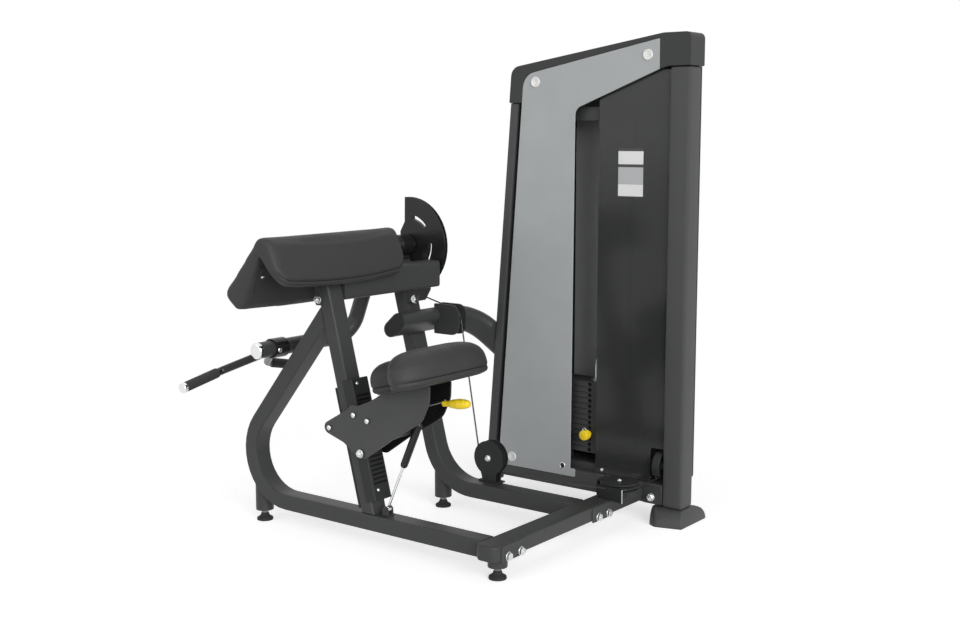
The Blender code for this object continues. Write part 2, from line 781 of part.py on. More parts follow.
def oval_tube(root):
    """Flat oval tube that runs beside the outer leg and arches down to the tower."""
    half = (OVAL_LONG - OVAL_SHORT) / 2
    end_x = side_post_x(OVAL_END_Z)
    bend = Vector((OVAL_X, OVAL_BEND, OVAL_Z))
    reach = Vector((end_x, TOWER_MIDDLE, OVAL_END_Z)) - bend
    early, late = (bend + reach * Vector(shares) for shares in (ARCH_EARLY, ARCH_LATE))
    corners = ((OVAL_X, OVAL_START, OVAL_Z), bend, early, late,
               (end_x + 0.004, TOWER_MIDDLE - 0.004, OVAL_END_Z - 0.004),
               (end_x + 0.020, TOWER_MIDDLE + 0.006, OVAL_END_Z - 0.024))
    points = [Vector(corners[0])] + bezier_run(corners[1:], 4)
    rings = []
    bm = bmesh.new()
    for index, point in enumerate(points):
        before = points[max(index - 1, 0)]
        after = points[min(index + 1, len(points) - 1)]
        way = (after - before).normalized()
        long_side = Vector((math.cos(OVAL_TILT), 0.0, math.sin(OVAL_TILT)))
        long_side = (long_side - way * long_side.dot(way)).normalized()
        short_side = way.cross(long_side)
        ring = []
        for turn, shift in ((-math.pi / 2, half), (math.pi / 2, -half)):
            for place in arc((shift, 0.0), OVAL_SHORT / 2, turn, turn + math.pi, 6):
                spot = point + long_side * place.x + short_side * place.y
                ring.append(bm.verts.new(spot))
        rings.append(ring)
    for first, second in zip(rings, rings[1:]):
        bmesh.ops.bridge_loops(bm, edges=ring_edges(bm, first) + ring_edges(bm, second))
    bm.faces.new(rings[0])
    bm.faces.new(rings[-1])
    tube_object = add("oval_tube", mesh_from(bm, "oval_tube"), "frame", root)
    under, over = OVAL_END_Z - 2 * OVAL_LONG, OVAL_END_Z + 2 * OVAL_LONG
    low, high = (side_post_x(z) - GAP for z in (under, over))
    beyond = low + 2 * OVAL_LONG
    outline = [(low, under), (beyond, under), (beyond, over), (high, over)]
    post_side = flat_mesh("post_side", [outline], 2 * OVAL_LONG, "steel", root, SIDE, TOWER_MIDDLE)
    leg_side = slanted_box("leg_side", (TUBE_DEPTH + 2 * GAP, TUBE_WIDTH + 2 * GAP, 2 * OVAL_LONG),
                           "steel", root, (leg_x(OVAL_Z), LEG_Y, OVAL_Z))
    return smooth(cut(tube_object, post_side, leg_side))


def bezier_run(corners, steps):
    """A smooth line through hand placed corners, with `steps` points between two."""
    corners = [Vector(corner) for corner in corners]
    points = [corners[0]]
    for index in range(len(corners) - 1):
        before = corners[max(index - 1, 0)]
        start, end = corners[index], corners[index + 1]
        after = corners[min(index + 2, len(corners) - 1)]
        for step in range(1, steps + 1):
            t = step / steps
            points.append(0.5 * ((2 * start) + (end - before) * t
                                 + (2 * before - 5 * start + 4 * end - after) * t * t
                                 + (3 * start - before - 3 * end + after) * t ** 3))
    return points


def oval_cap(root):
    half = (OVAL_LONG - OVAL_SHORT) / 2
    outline = (arc((half, 0.0), OVAL_SHORT / 2, -math.pi / 2, math.pi / 2, 8)
               + arc((-half, 0.0), OVAL_SHORT / 2, math.pi / 2, 3 * math.pi / 2, 8))
    cap = flat("oval_tube_cap", [outline], OVAL_CAP, "black_plastic", root, SIDE, 0.0)
    cap.location = Vector((OVAL_X, OVAL_START - GAP - OVAL_CAP / 2, OVAL_Z)) - place_of(root)
    cap.rotation_euler = (math.pi / 2, -OVAL_TILT, 0)
    return cap


# Rack, strip and the seat carriage

def adjust_rack(root):
    length = (RACK_HIGH - RACK_LOW) / math.cos(LEAN)
    height = (RACK_HIGH + RACK_LOW) / 2
    depth = RACK_PROUD + RACK_WRAP
    face = POST_DEPTH / 2 + GAP
    width = TUBE_WIDTH + 2 * (GAP + RACK_WALL)
    rack = slanted_box("adjust_rack", (depth, width, length), "black_plastic", root,
                       on_post(height, face + RACK_PROUD - depth / 2))
    bevel(rack, 0.002, 1)
    groove = slanted_box("rack_groove", (POST_DEPTH, TUBE_WIDTH + 2 * GAP, length + 0.02),
                         "steel", root, on_post(height, face - POST_DEPTH / 2))
    cut(rack, groove)
    bm = bmesh.new()
    for index in range(RACK_SLOTS):
        rise = (index - (RACK_SLOTS - 1) / 2) * RACK_PITCH
        made = bmesh.ops.create_cube(bm, size=1.0)["verts"]
        bmesh.ops.scale(bm, vec=(2 * RACK_SLOT_DEPTH, RACK_SLOT_WIDTH, RACK_SLOT_HEIGHT), verts=made)
        bmesh.ops.translate(bm, vec=(0, 0, rise), verts=made)
    slots = add("rack_slots", mesh_from(bm, "rack_slots"), "steel", root,
                on_post(height, face + RACK_PROUD), (0, -LEAN, 0))
    return cut(rack, slots)


def post_strip(root):
    length = (STRIP_HIGH - STRIP_LOW) / math.cos(LEAN)
    out = -(POST_DEPTH / 2 + GAP + STRIP_THICK / 2)
    strip = slanted_box("post_strip", (STRIP_THICK, STRIP_WIDTH, length), "rubber", root,
                        on_post((STRIP_HIGH + STRIP_LOW) / 2, out))
    return bevel(strip, 0.0015, 1)


def side_outline():
    """Outline of a carriage side plate, from its front lobe round by the top."""
    corners = ((-0.590, 0.338), (-0.590, 0.362), (-0.500, 0.413), (-0.483, 0.430),
               (-0.456, 0.430), (-0.412, 0.448), (-0.386, 0.462), SEAT_RAIL_FRONT,
               SEAT_RAIL_BACK, (-0.190, 0.470), (-0.218, 0.412), (-0.330, 0.345),
               (-0.428, 0.277), (-0.460, 0.277), (-0.512, 0.314))
    radii = (0.020, 0.020, 0.014, 0.014, 0.014, 0.010, 0.010, 0.006, 0.006, 0.060,
             0.060, 0.0, 0.016, 0.016, 0.020)
    return rounded(corners, radii, 4)


def carriage(seat_axis):
    """Two side plates; the bolts that show are raised heads on them."""
    for name, side in (("near", -1), ("far", 1)):
        middle = side * (SIDE_Y + SIDE_THICK / 2)
        plate = flat_mesh("carriage_side_" + name, [side_outline()], SIDE_THICK,
                          "plate_grey", seat_axis, SIDE, middle)
        for x, z in SIDE_BOLTS:
            outer = side * (SIDE_Y + SIDE_THICK)
            start = outer - 0.001 if side > 0 else outer - BOLT_PROUD
            head = rod("head", BOLT_RADIUS, (x, start, z), BOLT_PROUD + 0.001, "Y",
                       "steel", seat_axis, 12)
            join(plate, head)
        if side < 0:
            pin = rod("latch_pin", LATCH_PIN, (LATCH[0], middle, LATCH[1]), SIDE_Y - GAP - middle,
                      "Y", "steel", seat_axis, 14)
            join(plate, pin)


def carriage_block(seat_axis):
    """Guide block that spaces the side plates behind the post."""
    half = SIDE_Y - GAP
    low = BLOCK_LOW
    back = low + BLOCK_RISE
    corners = ((BLOCK_FRONT, low), (BLOCK_BACK, back), (BLOCK_BACK, back + BLOCK_HEIGHT),
               (BLOCK_FRONT, low + BLOCK_HEIGHT))
    outline = rounded(corners, 0.008, 3)
    return flat("carriage_block", [outline], 2 * half, "black_plastic", seat_axis, SIDE, 0.0)


def roller_place():
    """The roller runs on the wear strip on the post's front."""
    away = POST_DEPTH / 2 + GAP + STRIP_THICK + GAP + ROLLER_RADIUS
    return (post_x(ROLLER_HEIGHT) - away / math.cos(LEAN), ROLLER_HEIGHT)


def front_roller(roller_axis):
    half = SIDE_Y - GAP
    x, z = roller_place()
    profile = ((0.0, half), (ROLLER_PIN, half), (ROLLER_PIN, 0.027), (ROLLER_RADIUS, 0.024),
               (ROLLER_RADIUS, -0.024), (ROLLER_PIN, -0.027), (ROLLER_PIN, -half), (0.0, -half))
    return turned("front_roller", profile, "Y", (x, 0.0, z), "rubber", roller_axis, 24)


# Cushions

def arm_pad(root):
    """Inverted V cushion: panels for the upper arms and the chest."""
    stations = ((-1.0, 0.93), (-0.975, 0.985), (-0.80, 1.0), (-0.45, 1.01), (0.0, 1.015),
                (0.45, 1.01), (0.80, 1.0), (0.975, 0.985), (1.0, 0.93))
    bm = bmesh.new()
    rings = [pad_ring(bm, share, size) for share, size in stations]
    for first, second in zip(rings, rings[1:]):
        bmesh.ops.bridge_loops(bm, edges=ring_edges(bm, first) + ring_edges(bm, second))
    pad_end(bm, rings[0])
    pad_end(bm, rings[-1])
    pad = add("arm_pad", mesh_from(bm, "arm_pad"), "pad", root)
    subdivide(smooth(pad, math.radians(60)), 1)
    relief = box("relief", (BEAM_FRONT - 0.1, TUBE_WIDTH / 2, BEAM_TOP - 0.2),
                 (BEAM_FRONT + BEAM_WIDTH + PAD_RELIEF, BEAM_END, BEAM_TOP + PAD_RELIEF),
                 "steel", root)
    seat = flat_mesh("seat", [rounded(pad_bracket_outline(GAP), 0.0)],
                     PAD_BRACKET_WIDTH + 2 * GAP, "steel", root, SIDE, 0.0)
    return cut(pad, relief, seat)


def pad_ring(bm, share, size):
    """One section of the arm pad, drawn in a little towards its ends."""
    bow = PAD_BOW * (1 - share * share)
    chest = (PAD_CHEST_FOOT[0] + 0.35 * bow, PAD_CHEST_FOOT[1] - bow)
    under = (PAD_CHEST_UNDER[0] + 0.35 * bow, PAD_CHEST_UNDER[1] - bow)
    corners = (PAD_ARM_FOOT, PAD_RIDGE, chest, under, PAD_INNER, PAD_ARM_UNDER)
    radii = (0.020, 0.032, 0.012, 0.010, 0.012, 0.020)
    outline = rounded(corners, radii, 2)
    crowned = []
    for first, second in zip(outline, outline[1:] + outline[:1]):
        crowned.append(first)
        if (second - first).length > 0.05:
            crowned.append((first + second) / 2)
    middle = Vector(((PAD_RIDGE[0] + PAD_INNER[0]) / 2, (PAD_RIDGE[1] + PAD_INNER[1]) / 2))
    ring = []
    for point in crowned:
        place = middle + (point - middle) * size
        ring.append(bm.verts.new((place.x, share * PAD_HALF, place.y)))
    return ring


def pad_end(bm, ring):
    """Closes an end of the pad with one face for each panel of the V."""
    def from_inner(vert):
        return math.hypot(vert.co.x - PAD_INNER[0], vert.co.z - PAD_INNER[1])

    face = bm.faces.new(ring)
    ridge = max(ring, key=lambda vert: vert.co.z)
    bmesh.utils.face_split(face, ridge, min(ring, key=from_inner))


def ring_edges(bm, ring):
    edges = []
    for first, second in zip(ring, ring[1:] + ring[:1]):
        edge = bm.edges.get((first, second))
        edges.append(edge if edge else bm.edges.new((first, second)))
    return edges


def seat_outline():
    """Plan of the seat: a broad back and a narrower nose."""
    half = [(SEAT_BACK, 0.0), (SEAT_BACK - 0.004, 0.105), (SEAT_BACK - 0.030, 0.172),
            (SEAT_BACK - 0.067, SEAT_HALF), (SEAT_BACK - 0.099, SEAT_HALF - 0.010),
            (SEAT_FRONT + 0.062, SEAT_HALF - 0.048), (SEAT_FRONT + 0.020, NOSE_HALF + 0.012),
            (SEAT_FRONT - 0.040, NOSE_HALF), (SEAT_NOSE + 0.012, NOSE_HALF - 0.040),
            (SEAT_NOSE, 0.0)]
    other = [(x, -y) for x, y in half[-2:0:-1]]
    return half + other


def seat_pad(seat_axis):
    """Saddle cushion with a domed top, square to the post's slope."""
    front = Vector(SEAT_RAIL_FRONT)
    back = Vector(SEAT_RAIL_BACK)
    middle = (front + back) / 2
    bm = bmesh.new()
    levels = ((0.0, 0.955), (0.010, 0.995), (0.034, 1.0), (0.062, 0.955), (0.082, 0.83),
              (SEAT_THICK, 0.55))
    rings = []
    for height, size in levels:
        rings.append([bm.verts.new((x * size, y * size, height)) for x, y in seat_outline()])
    for first, second in zip(rings, rings[1:]):
        bmesh.ops.bridge_loops(bm, edges=ring_edges(bm, first) + ring_edges(bm, second))
    bm.faces.new(rings[0])
    bm.faces.new(rings[-1])
    pad = add("seat_pad", mesh_from(bm, "seat_pad"), "pad", seat_axis,
              (middle.x, 0.0, middle.y - SEAT_SINK), (0, -LEAN, 0))
    subdivide(pad, 1)
    return smooth(pad, math.radians(60))


def pad_bracket_outline(grown=0.0):
    """Side view of the plate between the post's top and the inside of the pad's V."""
    foot = POST_TOP + POST_DEPTH / 2 * math.sin(LEAN) + GAP
    left = PAD_INNER[0] - PAD_BRACKET_LENGTH / 2 - grown
    right = PAD_INNER[0] + PAD_BRACKET_LENGTH / 2 + grown
    top = PAD_INNER[1] + grown
    return ((left, foot - grown), (right, foot - grown), (right, top), (left, top))


def pad_bracket(root):
    return flat("pad_bracket", [rounded(pad_bracket_outline(), 0.0)], PAD_BRACKET_WIDTH, "frame",
                root, SIDE, 0.0)


# Swing arm, cam and handle; `arm_axis` is an empty on the pivot

def pivot_bearing(root):
    """Housing on the outer leg's top, with the shaft's bore."""
    length = BEARING_END - BEARING_START
    housing = rod("pivot_bearing", BEARING_RADIUS, (PIVOT_X, BEARING_START, PIVOT_Z), length,
                  "Y", "frame", root, 28)
    top = Vector((leg_x(LEG_TOP), 0.0, LEG_TOP))
    rise = (Vector((PIVOT_X, 0.0, PIVOT_Z)) - top).dot(UP_POST) - SHAFT_RADIUS - 0.004 - GAP
    place = top + UP_POST * (GAP + rise / 2) + OUT_POST * 0.003
    place.y = (BEARING_START + BEARING_END) / 2
    neck = slanted_box("neck", (NECK_WIDTH, length - 0.004, rise), "frame", root, place)
    bore = rod("bore", SHAFT_RADIUS + BEARING_FIT, (PIVOT_X, BEARING_START - 0.01, PIVOT_Z),
               length + 0.02, "Y", "steel", root, 28)
    return cut(join(housing, neck), bore)


def pivot_shaft(arm_axis):
    start = ARM_Y - ARM_HUB_WIDTH / 2 - 0.006
    end = CAM_Y + CAM_THICK / 2 + 0.010
    return rod("pivot_shaft", SHAFT_RADIUS, (PIVOT_X, start, PIVOT_Z), end - start, "Y",
               "steel", arm_axis, 24)


def shaft_bore(arm_axis, start, length):
    return rod("bore", SHAFT_RADIUS + GAP, (PIVOT_X, start, PIVOT_Z), length, "Y", "steel",
               arm_axis, 24)


def cam_plate(arm_axis):
    """Half disc with a grooved rim that winds the cable, and two curved slots."""
    centre = Vector((PIVOT_X, PIVOT_Z))
    rim = arc(centre, CAM_RADIUS, CAM_LOW_ANGLE, CAM_HIGH_ANGLE, 28)
    top = centre + Vector((-0.015, CAM_RADIUS * 0.48))
    waist = centre + Vector((-CAM_HUB - 0.004, CAM_HUB + 0.012))
    foot = centre + Vector((-CAM_HUB - 0.002, -CAM_HUB))
    plate = flat_mesh("cam_plate", [rim + [top, waist, foot]], CAM_THICK, "gloss_black",
                      arm_axis, SIDE, CAM_Y)
    floor = CAM_PITCH - CABLE_RADIUS - GAP
    outer = CAM_RADIUS + 0.004
    groove = turned("groove", ((outer, 0.0045), (outer, -0.0045), (floor, -0.003), (floor, 0.003)),
                    "Y", (PIVOT_X, CAM_Y, PIVOT_Z), "steel", arm_axis, 48, closed=True)
    cut(plate, groove)
    for start in CAM_SLOTS:
        slot = slot_outline(centre, start)
        cut(plate, flat_mesh("slot", [slot], CAM_THICK * 2, "steel", arm_axis, SIDE, CAM_Y))
    hub = rod("hub", CAM_HUB, (PIVOT_X, CAM_Y - CAM_THICK / 2 - 0.003, PIVOT_Z),
              CAM_THICK + 0.008, "Y", "gloss_black", arm_axis, 24)
    join(plate, hub)
    return cut(plate, shaft_bore(arm_axis, CAM_Y - 0.03, 0.06))


def slot_outline(centre, start):
    """A slot that bends round the pivot, with round ends."""
    end = start + CAM_SLOT_SPAN
    half = CAM_SLOT_WIDTH / 2
    first = centre + Vector((math.cos(start), math.sin(start))) * CAM_SLOT_RADIUS
    last = centre + Vector((math.cos(end), math.sin(end))) * CAM_SLOT_RADIUS
    return (arc(centre, CAM_SLOT_RADIUS + half, start, end, 6)
            + arc(last, half, end, end + math.pi, 4)[1:-1]
            + arc(centre, CAM_SLOT_RADIUS - half, end, start, 6)
            + arc(first, half, start + math.pi, start + 2 * math.pi, 4)[1:-1])


def roll_axis():
    """Where the arm's cross tube lies, in X and Z."""
    return (PIVOT_X - ARM_LENGTH * math.sin(ARM_ANGLE), PIVOT_Z - ARM_LENGTH * math.cos(ARM_ANGLE))


def swing_arm(arm_axis):
    """Hub, leg and cross tube of the arm, bent from one round tube."""
    x, z = roll_axis()
    points = bent_line(((PIVOT_X, ARM_Y, PIVOT_Z), (x, ARM_Y, z), (x, ROLL_END, z)), ARM_BEND, 8)
    arm = as_mesh(tube("swing_arm", points, ROLL_RADIUS, "gloss_black", arm_axis, sides=4))
    hub = rod("hub", ARM_HUB_RADIUS, (PIVOT_X, ARM_Y - ARM_HUB_WIDTH / 2, PIVOT_Z),
              ARM_HUB_WIDTH, "Y", "frame", arm_axis, 28)
    join(arm, hub)
    return cut(arm, shaft_bore(arm_axis, ARM_Y - 0.05, 0.10))


def roll_cap(arm_axis):
    x, z = roll_axis()
    profile = ((0.0, ROLL_CAP), (ROLL_RADIUS - 0.004, ROLL_CAP), (ROLL_RADIUS, ROLL_CAP - 0.004),
               (ROLL_RADIUS, 0.0), (0.0, 0.0))
    cap = turned("roll_tube_cap", profile, "Y", (x, ROLL_END - GAP, z), "chrome", arm_axis, 24)
    cap.rotation_euler = (math.pi / 2, 0, 0)
    return cap


def grip_line(side):
    """Ends of the straight grip on one side of the handle."""
    x, z = roll_axis()
    start = Vector((x + HANDLE_REACH, side * HANDLE_BEND_Y, z + HANDLE_DROP))
    end = Vector((x + HANDLE_REACH, side * GRIP_END_Y, z + GRIP_DROP))
    return start, end


def handle_bar(handle_axis):
    """V shaped bar on a sleeve that turns on the arm's cross tube."""
    x, z = roll_axis()
    apex_x = x + HANDLE_REACH * APEX_SHARE
    apex_z = z + HANDLE_DROP * APEX_SHARE
    near = grip_line(-1)
    far = grip_line(1)
    corners = (near[1], near[0], (apex_x, 0.0, apex_z), far[0], far[1])
    bar = as_mesh(tube("handle_bar", bent_line(corners, 0.024, 5), BAR_RADIUS, "frame",
                       handle_axis, (x, 0.0, z), sides=3))
    sleeve = rod("sleeve", SLEEVE_RADIUS, (x, -SLEEVE_HALF, z), 2 * SLEEVE_HALF, "Y",
                 "gloss_black", handle_axis, 28)
    bore = rod("bore", ROLL_RADIUS + RUNNING, (x, -2 * SLEEVE_HALF, z), 4 * SLEEVE_HALF, "Y",
               "steel", handle_axis, 28)
    return cut(join(bar, sleeve), bore)


def grips(handle_axis):
    """Rubber sleeves on the straight ends of the handle."""
    for name, side in (("near", -1), ("far", 1)):
        start, end = grip_line(side)
        way = (end - start).normalized()
        first = start + (end - start) * GRIP_START
        length = (end - first).length - GRIP_CAP
        bore = BAR_RADIUS + GAP
        profile = ((bore, length), (GRIP_RADIUS - 0.002, length), (GRIP_RADIUS, length - 0.004),
                   (GRIP_RADIUS, 0.004), (GRIP_RADIUS - 0.002, 0.0), (bore, 0.0))
        grip = turned("grip_" + name, profile, "Z", first, "rubber", handle_axis, 20, closed=True)
        grip.rotation_euler = way.to_track_quat("Z", "Y").to_euler()


# Release lever and gas spring

def release_lever(lever_axis):
    """Eye on the latch pin, a rod out to the back and a flat paddle."""
    pin = Vector((LATCH[0], 0.0, LATCH[1]))
    end = Vector((LEVER_BACK[0], 0.0, LEVER_BACK[1]))
    angle = math.atan2(end.z - pin.z, end.x - pin.x)
    way = Vector((math.cos(angle), 0.0, math.sin(angle)))
    start = pin + way * (LEVER_EYE - 0.003)
    bar = leaning_rod("release_lever", LEVER_ROD, start, (end - start).length + 0.02, angle,
                      "steel", lever_axis, 12)
    eye = rod("eye", LEVER_EYE, (pin.x, -LEVER_EYE_HALF, pin.z), 2 * LEVER_EYE_HALF, "Y",
              "steel", lever_axis, 20)
    bore = rod("bore", LATCH_PIN + RUNNING, (pin.x, -0.05, pin.z), 0.1, "Y", "steel",
               lever_axis, 16)
    outline = rounded(((0.0, -PADDLE_WIDTH * 0.3), (PADDLE_LENGTH, -PADDLE_WIDTH / 2),
                       (PADDLE_LENGTH, PADDLE_WIDTH / 2), (0.0, PADDLE_WIDTH * 0.3)),
                      (0.006, 0.013, 0.013, 0.006), 4)
    paddle = flat_mesh("paddle", [outline], PADDLE_THICK, "yellow", lever_axis, LEVEL, 0.0, 0.005)
    paddle.location = end - place_of(lever_axis)
    paddle.rotation_euler = (0, -PADDLE_TILT, 0)
    return cut(join(bar, eye, paddle), bore)


def spring_bracket(root):
    """Clevis on the rail behind the post's foot, with the spring's lower pin."""
    x, z = SPRING_LOW
    base = RAIL_TOP + GAP
    bracket = box("spring_bracket", (x - 0.016, -CLEVIS_HALF - 0.004, base),
                  (x + 0.016, CLEVIS_HALF + 0.004, base + 0.0025), "black_plastic", root)
    outline = ((x - 0.012, base + 0.001), (x + 0.012, base + 0.001)) + tuple(
        arc((x, z), 0.011, 0.0, math.pi, 8))
    for side in (-1, 1):
        ear = flat_mesh("ear", [outline], 0.004, "frame", root, SIDE, side * (CLEVIS_HALF + 0.002))
        join(bracket, ear)
    pin = rod("pin", SPRING_PIN, (x, -CLEVIS_HALF - 0.010, z), 2 * CLEVIS_HALF + 0.020, "Y",
              "steel", root, 12)
    return join(bracket, pin)


def gas_spring(spring_axis, body_axis):
    x, z = SPRING_LOW
    low = Vector((x, 0.0, z))
    way = Vector((math.cos(SPRING_ANGLE), 0.0, math.sin(SPRING_ANGLE)))
    bar = leaning_rod("gas_rod", SPRING_ROD, low + way * (SPRING_EYE - 0.002),
                      SPRING_ROD_LENGTH, SPRING_ANGLE, "chrome", spring_axis, 14)
    eye = rod("eye", SPRING_EYE, (x, -CLEVIS_HALF + 0.0008, z), 2 * CLEVIS_HALF - 0.0016, "Y",
              "steel", spring_axis, 20)
    bore = rod("bore", SPRING_PIN + RUNNING, (x, -0.03, z), 0.06, "Y", "steel", spring_axis, 16)
    cut(join(bar, eye), bore)
    inner = SPRING_ROD + RUNNING
    top = SPRING_BODY_LENGTH
    profile = ((0.0, top), (SPRING_BODY * 0.6, top), (SPRING_BODY, top - 0.006),
               (SPRING_BODY, 0.006), (SPRING_BODY - 0.002, 0.0), (inner, 0.0),
               (inner, top - 0.010), (0.0, top - 0.010))
    body = turned("gas_cylinder", profile, "Z", low + way * SPRING_BODY_START,
                  "black_plastic", body_axis, 20)
    body.rotation_euler = (0, math.pi / 2 - SPRING_ANGLE, 0)
    return body


# Pulleys and their brackets; the axis letter names the way an axle points

def pulley(name, place, axis, pitch, axis_empty):
    half = PULLEY_WIDTH / 2
    rim = pitch + PULLEY_LIP
    floor = pitch - CABLE_RADIUS - GAP
    bore = AXLE_RADIUS + RUNNING
    hub = AXLE_RADIUS + 0.007
    web = half * 0.6
    profile = ((bore, half), (hub, half), (floor - 0.008, web), (floor - 0.003, half),
               (rim, half), (rim, 0.0055), (floor, 0.0030), (floor, -0.0030), (rim, -0.0055),
               (rim, -half), (floor - 0.003, -half), (floor - 0.008, -web), (hub, -half),
               (bore, -half))
    return turned(name, profile, axis, place, "black_plastic", axis_empty, 16, closed=True)


def upper_pulley_housing(root):
    """Two D shaped cheeks on the flat oval tube, with the axle between them."""
    x, y, z = UPPER_PULLEY
    back = OVAL_X + (OVAL_LONG - OVAL_SHORT) / 2 * math.cos(OVAL_TILT)
    front = x + UPPER_PITCH + PULLEY_LIP
    outline = rounded(((back, z - 0.053), (front, z - 0.053), (front, z + 0.045),
                       (back, z + 0.045)), (0.004, 0.030, 0.030, 0.004), 6)
    inner = PULLEY_WIDTH / 2 + HOUSING_GAP
    near = flat_mesh("upper_pulley_housing", [outline], HOUSING_THICK, "black_plastic", root,
                     SIDE, y - inner - HOUSING_THICK / 2)
    far = flat_mesh("cheek", [outline], HOUSING_THICK, "black_plastic", root, SIDE,
                    y + inner + HOUSING_THICK / 2)
    web_back = x - UPPER_PITCH - PULLEY_LIP - 0.002
    web = box("web", (back, y - inner - 0.001, z - 0.050), (web_back, y + inner + 0.001, z - 0.018),
              "black_plastic", root)
    axle = rod("axle", AXLE_RADIUS, (x, y - inner - 0.002, z), 2 * inner + 0.004, "Y", "steel",
               root, 16)
    join(near, far, web, axle)
    grown = OVAL_SHORT / 2 + GAP
    half = (OVAL_LONG - OVAL_SHORT) / 2
    outline = (arc((half, 0.0), grown, -math.pi / 2, math.pi / 2, 12)
               + arc((-half, 0.0), grown, math.pi / 2, 3 * math.pi / 2, 12))
    relief = flat_mesh("relief", [outline], 0.2, "steel", root, SIDE, y)
    relief.location = Vector((OVAL_X, y, OVAL_Z)) - place_of(root)
    relief.rotation_euler = (math.pi / 2, -OVAL_TILT, 0)
    return cut(near, relief)


def floor_pulley_bracket(root):
    """Two round cheeks on a base plate on top of the outer rail."""
    x, y, z = FLOOR_PULLEY
    base = RAIL_TOP + GAP
    radius = FLOOR_PITCH + PULLEY_LIP + 0.004
    inner = PULLEY_WIDTH / 2 + CHEEK_GAP
    low = math.radians(-58)
    outline = ([Vector((x - 0.020, base + 0.001)), Vector((x + 0.028, base + 0.001))]
               + arc((x, z), radius, low, math.pi - low, 28))
    bracket = box("floor_pulley_bracket", (x - 0.038, y - inner - CHEEK_THICK, base),
                  (x + 0.044, y + inner + CHEEK_THICK, base + 0.005), "black_plastic", root)
    for side in (-1, 1):
        join(bracket, flat_mesh("cheek", [outline], CHEEK_THICK, "black_plastic", root, SIDE,
                                y + side * (inner + CHEEK_THICK / 2)))
    axle = rod("axle", AXLE_RADIUS, (x, y - inner - 0.002, z), 2 * inner + 0.004, "Y", "steel",
               root, 16)
    return join(bracket, axle)


def cable_floor_z():
    """Height of the cable between the floor pulley and the tower."""
    return FLOOR_PULLEY[2] - FLOOR_PITCH


def corner_pulley_bracket(root):
    """U bracket that lies on its side on the cross bar."""
    x, y = CORNER_PULLEY
    z = cable_floor_z()
    inner = PULLEY_WIDTH / 2 + CHEEK_GAP
    low = RAIL_TOP + GAP
    rim = CORNER_PITCH + PULLEY_LIP
    back = x - rim - 0.005
    outline = ([Vector((back - 0.005, y - 0.024)), Vector((x, y - 0.024))]
               + arc((x, y), 0.024, -math.pi / 2, math.pi / 2, 8)[1:]
               + [Vector((back - 0.005, y + 0.024))])
    base_thick = z - inner - low
    bracket = flat_mesh("corner_pulley_bracket", [outline], base_thick, "black_plastic", root,
                        LEVEL, low + base_thick / 2)
    cover = rod("cover", rim + COVER_LIP, (x, y, z + inner), CHEEK_THICK, "Z", "black_plastic",
                root, 32)
    top = flat_mesh("top", [outline], CHEEK_THICK, "black_plastic", root, LEVEL,
                    z + inner + CHEEK_THICK / 2)
    web = box("web", (back - 0.005, y - 0.024, low), (back, y + 0.024, z + inner + CHEEK_THICK),
              "black_plastic", root)
    axle = rod("axle", AXLE_RADIUS, (x, y, z - inner - 0.002), 2 * inner + 0.004, "Z", "steel",
               root, 16)
    return join(bracket, top, cover, web, axle)


def column_cable_x():
    """The cable rises beside the column in line with the corner pulley's rim."""
    return CORNER_PULLEY[0] + CORNER_PITCH


def stack_y():
    """Depth at which the cable rises and falls inside the tower."""
    return TOWER_PULLEY_Y + TOWER_PITCH


def top_pulley_x():
    return (column_cable_x() - TOP_PITCH, STACK_X + TOP_PITCH)


def top_pulley_bracket(root):
    """Two long cheeks on the top beam that hold both upper tower pulleys."""
    first, second = top_pulley_x()
    y = stack_y()
    inner = PULLEY_WIDTH / 2 + CHEEK_GAP
    low = TOP_BEAM_BOTTOM + TOP_BEAM_HEIGHT + GAP
    high = TOP_PULLEY_Z + 0.022
    thick = CHEEK_THICK
    bracket = box("top_pulley_bracket", (second - 0.024, y - inner - thick, low),
                  (first + 0.024, y - inner, high), "frame", root)
    other = box("cheek", (second - 0.024, y + inner, low),
                (first + 0.024, y + inner + thick, high), "frame", root)
    join(bracket, other)
    for x in (first, second):
        join(bracket, rod("axle", AXLE_RADIUS, (x, y - inner - 0.002, TOP_PULLEY_Z),
                          2 * inner + 0.004, "Y", "steel", root, 16))
    return bracket


# Cable

